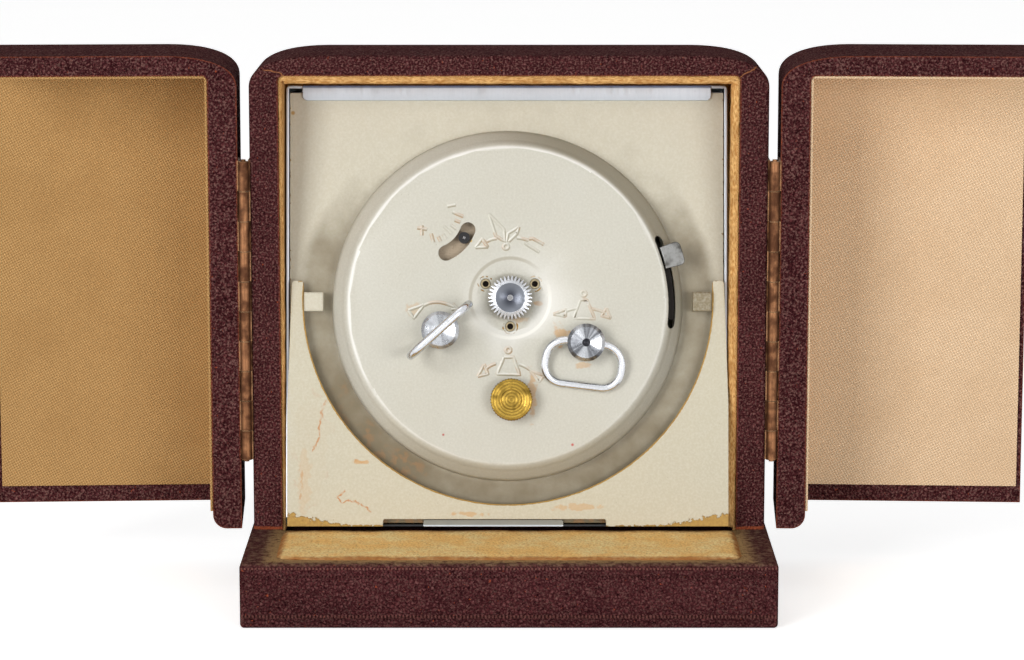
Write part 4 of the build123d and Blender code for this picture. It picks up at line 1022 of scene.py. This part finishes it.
# New pieces worked out on grids
def sheet_piece(name, points, finish, body, closed=False, attributes=()):
    """A surface through a grid of points (rows, columns, 3) in metres; closed joins the last row to the first."""
    rows, columns = points.shape[:2]
    mesh = bpy.data.meshes.new(name)
    index = np.arange(rows * columns).reshape(rows, columns)
    if closed:
        index = np.vstack([index, index[:1]])
    faces = np.stack([index[:-1, :-1], index[:-1, 1:], index[1:, 1:], index[1:, :-1]], -1).reshape(-1, 4)
    mesh.from_pydata(points.reshape(-1, 3).tolist(), [], faces.tolist())
    for title, values in attributes:
        mesh.attributes.new(title, "FLOAT", "POINT").data.foreach_set("value",
                                                                      values.ravel().astype(np.float32))
    mesh.polygons.foreach_set("use_smooth", np.ones(len(mesh.polygons), bool))
    mesh.materials.append(finish)
    piece = in_scene(name, mesh)
    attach(piece, body)
    return piece


def joined(name, pieces):
    """Several pieces as one mesh."""
    work = bmesh.new()
    for piece in pieces:
        work.from_mesh(piece.data)
    mesh = pieces[0].data.copy()
    work.to_mesh(mesh)
    work.free()
    whole = in_scene(name, mesh)
    for piece in pieces:
        bpy.data.objects.remove(piece)
    return whole


def drawn(path, steps):
    """Evenly spaced points along straight runs between corners."""
    path = np.asarray(path, float)
    length = np.concatenate([[0], np.cumsum(np.linalg.norm(np.diff(path, axis=0), axis=1))])
    want = np.unique(np.concatenate([np.linspace(0, length[-1], steps), length]))
    return np.stack([np.interp(want, length, path[:, i]) for i in range(2)], -1)


def arc_through(path, steps=14):
    """Points of the parabola through three points."""
    t = np.linspace(0, 1, steps)[:, None]
    a, b, c = np.asarray(path, float)
    return a * (1 - t) * (1 - 2 * t) + b * 4 * t * (1 - t) + c * t * (2 * t - 1)


def loop_round(middle, radius, steps=20):
    """Points of a circle."""
    turn = np.linspace(0, 2 * np.pi, steps)
    return np.stack([middle[0] + radius * np.cos(turn), middle[1] + radius * np.sin(turn)], -1)


def pressed_line(path, width, rise):
    """A round ridge along a path on the drum, sunk a little at its sides; gives its points and how far
    across they lie."""
    way = np.gradient(path, axis=0)
    way /= np.linalg.norm(way, axis=1)[:, None] + 1e-9
    side = np.stack([-way[:, 1], way[:, 0]], -1)
    across = np.linspace(-1, 1, 9)
    height = (0.5 + 0.5 * np.cos(np.pi * across)) * rise - 0.01
    flat = path[:, None, :] + side[:, None, :] * (across * width / 2)[None, :, None]
    points = np.stack([flat[..., 0], np.broadcast_to(DRUM_FACE - height, flat.shape[:2]), flat[..., 1]], -1)
    return in_clock(points), np.broadcast_to(across, flat.shape[:2]).copy()


def make_pictograms(finish):
    """Turning arrows, hands, bells and rate ticks pressed into the drum, from places in clock millimetres."""
    straight = [[(-9.22, 53.81), (-7.4, 53.06)], [(-8.88, 52.45), (-7.93, 52.11)],
                [(-9.49, 51.58), (-8.62, 50.97)], [(-10.7, 51.41), (-9.41, 50.18)],
                [(-10.87, 50.1), (-10.28, 49.31)], [(-11.66, 49.67), (-11.23, 48.8)],
                [(-12.88, 50.18), (-12.44, 48.61)], [(-10.11, 54.8), (-8.71, 55.06)],
                [(-15.24, 51.14), (-13.58, 50.88)], [(-14.45, 51.58), (-14.45, 49.84)],
                [(-3.05, 53.49), (-0.45, 50.88), (-0.28, 48.8), (-1.84, 49.76), (-3.05, 53.49)],
                [(2.08, 51.32), (0.25, 50.18), (-0.02, 48.8)], [(2.08, 51.32), (1.8, 50.18), (0.34, 48.8)],
                [(-5.32, 47.78), (-3.22, 47.85), (-4.19, 49.31), (-5.32, 47.78)],
                [(3.8, 49.24), (4.43, 49.31), (6.33, 48.27)], [(3.11, 48.53), (3.73, 48.1), (5.55, 46.98)],
                [(-16.77, 37.1), (-14.04, 38.05), (-15.81, 35.73), (-16.77, 37.1)],
                [(-9.24, 38.25), (-8.38, 37.4), (-9.41, 37.23)], [(12.57, 38.87), (12.06, 37.49),
                                                                  (11.36, 35.73), (15.02, 35.61),
                                                                  (14.27, 37.49), (13.66, 38.87),
                                                                  (12.57, 38.87)],
                [(7.95, 36.41), (10.13, 37.23), (10.01, 36.04), (7.95, 36.41)],
                [(17.0, 37.45), (17.73, 35.73), (16.15, 36.16), (17.0, 37.45)],
                [(-0.46, 29.09), (-1.06, 27.61), (-1.69, 26.23), (2.26, 26.09), (1.68, 27.61), (1.17, 29.09),
                 (-0.46, 29.09)], [(-4.94, 25.82), (-3.85, 27.86), (-3.17, 26.23), (-4.94, 25.82)],
                [(4.02, 26.77), (5.52, 24.88), (6.35, 25.96), (4.02, 26.77)]]
    bent = [[(-3.41, 48.8), (-2.59, 49.14), (-1.67, 49.31)], [(1.72, 49.4), (2.77, 49.26), (3.73, 48.97)],
            [(-14.04, 37.91), (-11.74, 38.46), (-9.01, 37.64)], [(10.13, 36.89), (10.95, 37.21),
                                                                 (11.97, 37.38)],
            [(14.53, 37.32), (15.64, 37.08), (16.74, 36.64)], [(-3.58, 27.05), (-2.76, 27.64), (-1.83, 28.0)],
            [(2.11, 27.86), (3.11, 27.5), (4.02, 26.91)]]
    rounds = [(-0.11, 47.93), (13.11, 39.94), (0.27, 30.3)]
    paths = [drawn(path, 12) for path in straight] + [arc_through(path) for path in bent]
    paths += [loop_round(middle, 0.45) for middle in rounds]
    pieces = []
    for path in paths:
        under_ring = np.hypot(*(np.mean(path, 0) - ALARM_KEY)) < RING_SWEEP
        points, across = pressed_line(path, PRESSED_WIDTH, PRESSED_LOW if under_ring else PRESSED_HIGH)
        pieces.append(sheet_piece("line", points, finish, "clock", attributes=[("across", across)]))
    marks = joined("drum_marks", pieces)
    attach(marks, "clock")


def make_pad(finish):
    """The pad: a rounded slab whose top swells a little, with a ragged, gently waving border."""
    low, high = (np.array(corner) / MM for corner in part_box("plinth_pad"))
    half, depth = (high - low)[:2] / 2
    middle = (high + low) / 2
    rings, steps = 26, 480
    turn = np.linspace(0, 2 * np.pi, steps, endpoint=False)
    power = 14.0
    reach = (np.abs(np.cos(turn)) ** power + np.abs(np.sin(turn)) ** power) ** (-1 / power)
    border = 1 + 0.0016 * (np.sin(37 * turn) + np.sin(61 * turn + 1) + np.sin(113 * turn + 2))
    part = np.linspace(0, 1, rings) ** 0.6
    edge_x = reach * np.cos(turn) * border * half
    edge_y = reach * np.sin(turn) * border * depth
    grid_x = middle[0] + part[:, None] * edge_x
    grid_y = middle[1] + part[:, None] * edge_y
    near = np.minimum(half - np.abs(grid_x - middle[0]), depth - np.abs(grid_y - middle[1])).clip(0)
    swell = 0.5 * (1 - np.exp(-near / 0.35)) + 0.06 * np.sin(grid_x * 0.45) * np.sin(grid_y * 0.8 + 1)
    top = low[2] + 0.04 + swell.clip(0)
    grid = np.stack([grid_x, grid_y, top], -1)
    foot = grid[-1:].copy()
    foot[..., 2] = low[2] + 0.01
    under = foot * [0, 0, 1] + middle * [1, 1, 0]
    points = np.concatenate([grid, foot, np.broadcast_to(under, foot.shape)])
    pad = sheet_piece("pad_top", (points * MM).transpose(1, 0, 2)[::-1], finish, "case", closed=True)
    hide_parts("plinth_pad")


def make_collar(finish):
    """The lining's padded edge: a soft roll along both sides and the ceiling of the recess, as thick as
    the gap beside the clock, with a slightly uneven edge."""
    low, high = (np.array(corner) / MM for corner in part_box("frame_lining"))
    left, right, top, foot = low[0], high[0], high[2], 11.2
    run = 150
    legs = np.linspace(foot, top - 1.0, run)
    ceiling = np.linspace(left + 1.0, right - 1.0, run)
    bend = np.linspace(0, np.pi / 2, 8)[1:-1]
    path = np.concatenate([np.stack([np.full(run, left), legs], -1),
                           np.stack([left + 1 - np.cos(bend), top - 1 + np.sin(bend)], -1),
                           np.stack([ceiling, np.full(run, top)], -1),
                           np.stack([right - 1 + np.sin(bend), top - 1 + np.cos(bend)], -1),
                           np.stack([np.full(run, right), legs[::-1]], -1)])
    inward = np.concatenate([np.tile([1.0, 0.0], (run, 1)), np.stack([np.cos(bend), -np.sin(bend)], -1),
                             np.tile([0.0, -1.0], (run, 1)), np.stack([-np.sin(bend), -np.cos(bend)], -1),
                             np.tile([-1.0, 0.0], (run, 1))])
    thick = np.concatenate([np.full(run, 0.66), np.linspace(0.7, 1.4, 6), np.full(2 * run + 6, 1.5)])
    step = np.arange(len(path))
    thick = thick + 0.03 * np.sin(step * 0.9) + 0.03 * np.sin(step * 0.37 + 1) + 0.02 * np.sin(step * 2.3)
    depth = np.array([0.55, 0.5, 0.62, 0.95, 1.6, 3.0, 5.0, 6.2, 6.4])
    reach = np.array([-0.02, 0.3, 0.7, 0.93, 1.0, 0.97, 0.8, 0.4, -0.02])
    wave = 0.06 * np.sin(step * 0.21) + 0.04 * np.sin(step * 0.53)
    flat = path[:, None, :] + inward[:, None, :] * (thick[:, None] * reach[None, :])[..., None]
    points = np.stack([flat[..., 0], depth[None, :] + wave[:, None], flat[..., 1]], -1)
    caps = [np.broadcast_to(row.mean(1, keepdims=True), row.shape) for row in (points[:1], points[-1:])]
    points = np.concatenate([caps[0], points, caps[1]])
    collar = sheet_piece("lining_roll", (points * MM).transpose(1, 0, 2)[::-1], finish, "case", closed=True)


def make_fibres(finish):
    """Loose lining fibres along the recess's mouth: short bent ribbons, thinner to their ends."""
    seeds = np.random.default_rng(5)
    low, high = (np.array(corner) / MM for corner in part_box("frame_lining"))
    count = 420
    along = seeds.random(count)
    top = seeds.random(count) < 0.55
    side = np.where(seeds.random(count) < 0.5, low[0], high[0])
    root_x = np.where(top, low[0] + 1.5 + along * (high[0] - low[0] - 3.0), side)
    root_z = np.where(top, high[2] - 0.1, 14.0 + along * 73.0)
    inward = np.where(top, 0.0, -np.sign(side))
    length = 0.25 + 0.55 * seeds.random(count)
    drift = (seeds.random((count, 3)) - 0.5) * [0.8, 0.5, 0.8]
    drift[:, 1] -= 0.35
    drift[:, 0] += inward * 0.35
    drift[:, 2] -= np.where(top, 0.4, 0.0)
    step = np.linspace(0, 1, 4)[None, :, None]
    root = np.stack([root_x + inward * 0.2, np.full(count, low[1] + 0.05), root_z], -1)[:, None, :]
    sway = (seeds.random((count, 1, 3)) - 0.5) * 0.3
    line = root + drift[:, None, :] * length[:, None, None] * step + sway * np.sin(np.pi * step)
    width = 0.03 * (1 - 0.7 * step)
    wide = np.stack([top, np.zeros(count), ~top], -1).astype(float)[:, None, :]
    points = np.stack([line - wide * width, line + wide * width], 2) * MM
    index = np.arange(count * 8).reshape(count, 4, 2)
    faces = np.stack([index[:, :-1, 0], index[:, :-1, 1], index[:, 1:, 1], index[:, 1:, 0]], -1).reshape(-1,
                                                                                                         4)
    mesh = bpy.data.meshes.new("lining_fibres")
    mesh.from_pydata(points.reshape(-1, 3).tolist(), [], faces.tolist())
    mesh.materials.append(finish)
    fibres = in_scene("lining_fibres", mesh)
    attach(fibres, "case")


def make_dial_print(finish):
    """Numerals one to twelve and minute ticks on the dial, read from the glass side."""
    pieces = []
    for minute in range(60):
        turn = math.radians(6 * minute)
        inner, half = (28.6, 0.28) if minute % 5 == 0 else (29.6, 0.1)
        ends = np.array([[inner, -half], [inner, half], [30.8, half], [30.8, -half]])
        x = CENTRE[0] - (ends[:, 0] * math.sin(turn) + ends[:, 1] * math.cos(turn))
        z = DRUM[1] + ends[:, 0] * math.cos(turn) - ends[:, 1] * math.sin(turn)
        points = np.stack([x, np.full(4, DIAL_FACE), z], -1)[[0, 1, 3, 2]].reshape(2, 2, 3)
        pieces.append(sheet_piece("tick", in_clock(points), finish, "clock"))
    for hour in range(1, 13):
        data = bpy.data.curves.new("numeral", "FONT")
        data.body = str(hour)
        data.size = 7.2
        data.align_x, data.align_y = "CENTER", "CENTER"
        shape = in_scene("numeral", data)
        mesh = bpy.data.meshes.new_from_object(shape)
        flat = places_of(mesh) * MM
        turn = math.radians(30 * hour)
        x = CENTRE[0] - NUMERALS * math.sin(turn) - flat[:, 0] * 0.8
        z = DRUM[1] + NUMERALS * math.cos(turn) + flat[:, 1]
        points = np.stack([x, np.full(len(flat), DIAL_FACE), z], -1)
        mesh.vertices.foreach_set("co", in_clock(points).ravel())
        mesh.materials.clear()
        mesh.materials.append(finish)
        bpy.data.objects.remove(shape)
        pieces.append(in_scene("numeral", mesh))
    marks = joined("dial_print", pieces)
    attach(marks, "clock")


def make_regulator_square(finish):
    """The square end of the rate lever's screw: a low pyramid standing on one corner."""
    middle = np.array([RATE_PIN[0], DRUM_FACE + 0.25, RATE_PIN[1]])
    turn = np.radians([20, 110, 200, 290])
    rim = np.stack([np.cos(turn), np.zeros(4), np.sin(turn)], -1)
    rows = np.stack([middle + rim * 0.3, middle + rim * 0.3 - [0, 0.16, 0],
                     middle + rim * 0.16 - [0, 0.24, 0], np.broadcast_to(middle - [0, 0.25, 0], (4, 3))])
    piece = sheet_piece("regulator_square", in_clock(rows.transpose(1, 0, 2)), finish, "regulator",
                        closed=True)
    piece.data.polygons.foreach_set("use_smooth", np.zeros(len(piece.data.polygons), bool))


make_camera()
make_light()
make_floor()
for build in (build_hide, build_coat, build_tide, build_turned, build_cloth, build_tarnish):
    build()

frame_leather = make_leather("frame_leather", [((42.5, 2.0, 11.1), (5.5, 9.0, 0.4))],
                             creases=[((-41.4, 90.2), (-39.2, 89.9)), ((-39.2, 89.9), (-37.3, 88.6)),
                                      ((38.9, 88.9), (42.6, 91.1))])
plinth_leather = make_leather("plinth_leather", [((44.4, -25.8, 5.5), (0.4, 0.4, 7.0)),
                                                 ((44.2, -25.6, 10.6), (1.4, 1.2, 0.6))], tooled=True,
                              grit=0.5, skin=(80, 40, 42))
door_leather = make_leather("door_leather")
plate_paint = make_paint("plate_paint", [(-34.2, 12.5, 3.2, 9.0, 0.8), (-36.7, 71.1, 0.3, 0.3, 1.2)],
                         plate_dirt, plate_chips, tint=(206, 200, 180))
strut_paint = make_paint("strut_paint", [(-33.5, 12.5, 3.0, 9.5, 0.25)], None, strut_chips, edge=0.6,
                         tint=(202, 194, 170), lines=STRUT_LINES, smudges=[(-34.6, 8.0, 1.2, 7.0, 0.2),
                                                                           (-25.0, 11.2, 1.4, 0.5, 0.7),
                                                                           (12.2, 3.4, 4.4, 0.7, 0.5),
                                                                           (-6.5, 2.3, 3.0, 0.5, 0.6)])
drum_paint = make_paint("drum_paint", [], drum_dirt, drum_chips, edge=0.4, tint=(204, 201, 188),
                        smudges=[(9.2, 32.7, 1.4, 2.0, 0.7), (13.2, 27.7, 2.4, 0.6, 0.5),
                                 (4.4, 22.5, 0.8, 4.0, 0.6), (2.2, 35.6, 1.7, 0.7, 0.4),
                                 (5.3, 38.2, 0.8, 0.5, 0.7), (-15.8, 37.2, 1.2, 1.1, 0.35)], painted_shading=1.0)
lug_paint = make_lug()
nickel = make_nickel()
steel = make_metal("steel", (150, 150, 152), (80, 80, 82), 0.4, edge_bright=(215, 215, 215))
dark_steel = make_metal("dark_steel", (112, 112, 112), (62, 60, 58), 0.4, edge_bright=(200, 200, 196))
rate_lever = make_lever()
stop_metal = make_stop()
hinge_brown = make_metal("hinge_brown", (140, 98, 68), (84, 54, 38), 0.6, grain=(6, 6, 1), clock=False,
                         edge_bright=(186, 148, 110), least=0.34)
plain_brass = make_metal("plain_brass", (196, 154, 72), (128, 92, 44), 0.5)
dull_plate = make_metal("dull_plate", (180, 162, 138), (128, 110, 90), 0.4, metallic=0.3, least=0.4)
ring_metal = make_metal("ring_metal", (218, 220, 224), (120, 122, 126), 0.2, grain=(2, 2, 2), least=0.17,
                        depth=0.004)
knob_metal = make_turned("knob_metal", CENTRE, (218, 221, 226), (126, 128, 134), 0.2, cup=2.5)
time_hub_metal = make_turned("time_hub_metal", TIME_KEY, (216, 219, 224), (120, 122, 126), 0.2, pitch=0.16,
                             painted_glint=0.45)
alarm_hub_metal = make_turned("alarm_hub_metal", ALARM_KEY, (206, 209, 214), (110, 112, 116), 0.25, pitch=0.2,
                              painted_glint=0.8, hole=0.7)
knob_brass = make_turned("knob_brass", ALARM_KNOB, (176, 144, 66), (92, 72, 28), 0.5, pitch=0.5, groove=0.55,
                         depth=0.05)
tubes = make_tubes()
ring_cloth = make_cloth("recess_cloth", 0.3, (250, 200, 132), (206, 148, 84))
# The left door's lining: the same cloth as the right's, painted darker and more orange as shade
shaded_left_cloth = make_cloth("shaded_left_door_cloth", 0.5, (208, 166, 110), (170, 128, 78))
right_cloth = make_cloth("right_door_cloth", 0.5, (250, 220, 184), (222, 186, 146))
pad_nap = make_nap("pad_nap")
pane = make_pane()
dial_paint = make_dial()
ink = make_print()

frame_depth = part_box("case_frame")[1][1] / MM
eased("case_frame", 0.5, frame_leather, reshape=lambda mesh: fine_arch(mesh, (-1, 1), 0, (0.0, frame_depth),
                                                                       (0.8, 0.8)))
eased("plinth", 0.5, plinth_leather)
eased("left_door_shell", 0.5, door_leather, reshape=lambda mesh: fine_arch(mesh, (-1,), DOOR_SWING, TRAY,
                                                                           TRAY_EDGES))
eased("right_door_shell", 0.5, door_leather, reshape=lambda mesh: fine_arch(mesh, (1,), -DOOR_SWING, TRAY,
                                                                            TRAY_EDGES))
eased("frame_lining", 0.12, ring_cloth)
eased("left_door_lining", 0.12, shaded_left_cloth)
eased("right_door_lining", 0.12, right_cloth)
eased("nickel_case", 0.1, nickel)
eased("back_plate", 0.1, plate_paint)
eased("drum_cover", 0.1, drum_paint, smooth=36, reshape=coned_shoulder)
eased("strut", 0.12, strut_paint)
eased("strut_lugs", 0.5, lug_paint, segments=1)
eased("set_knob", 0.03, knob_metal, smooth=24)
eased("time_key_hub", 0.06, time_hub_metal, smooth=24)
eased("alarm_key_hub", 0.06, alarm_hub_metal, smooth=24)
eased("alarm_knob", 0.03, knob_brass, smooth=24)
for ring in ("time_key_ring", "alarm_key_ring"):
    swell = eased(ring, 0, ring_metal, smooth=40).modifiers.new("swell", "DISPLACE")
    swell.strength = RING_SWELL * MM
    swell.mid_level = 0.0
eased("alarm_stop", 0.4, stop_metal, segments=4)
dressed(hinge_brown, "left_frame_leaf", "right_frame_leaf", "left_hinge_pin", "right_hinge_pin",
        "left_door_leaf", "right_door_leaf")
dressed(dull_plate, "rear_plate")
dressed(tubes, "cover_posts")
dressed(plain_brass, "front_plate", "time_barrel", "alarm_barrel", "centre_wheel", "third_wheel",
        "fourth_wheel", "hour_wheel", "minute_wheel", "alarm_wheel", "alarm_arbor", "balance_wheel")
dressed(rate_lever, "regulator_lever")
dressed(steel, "pillars", "centre_arbor", "escape_wheel", "pallet_lever", "hairspring", "hammer", "hour_hand",
        "minute_hand", "alarm_hand")
dressed(dial_paint, "dial")
dressed(pane, "glass")
make_pictograms(make_emboss())
make_pad(pad_nap)
make_collar(make_roll())
make_fibres(ring_cloth)
make_dial_print(ink)
make_regulator_square(steel)

scene.view_settings.view_transform = "Standard"
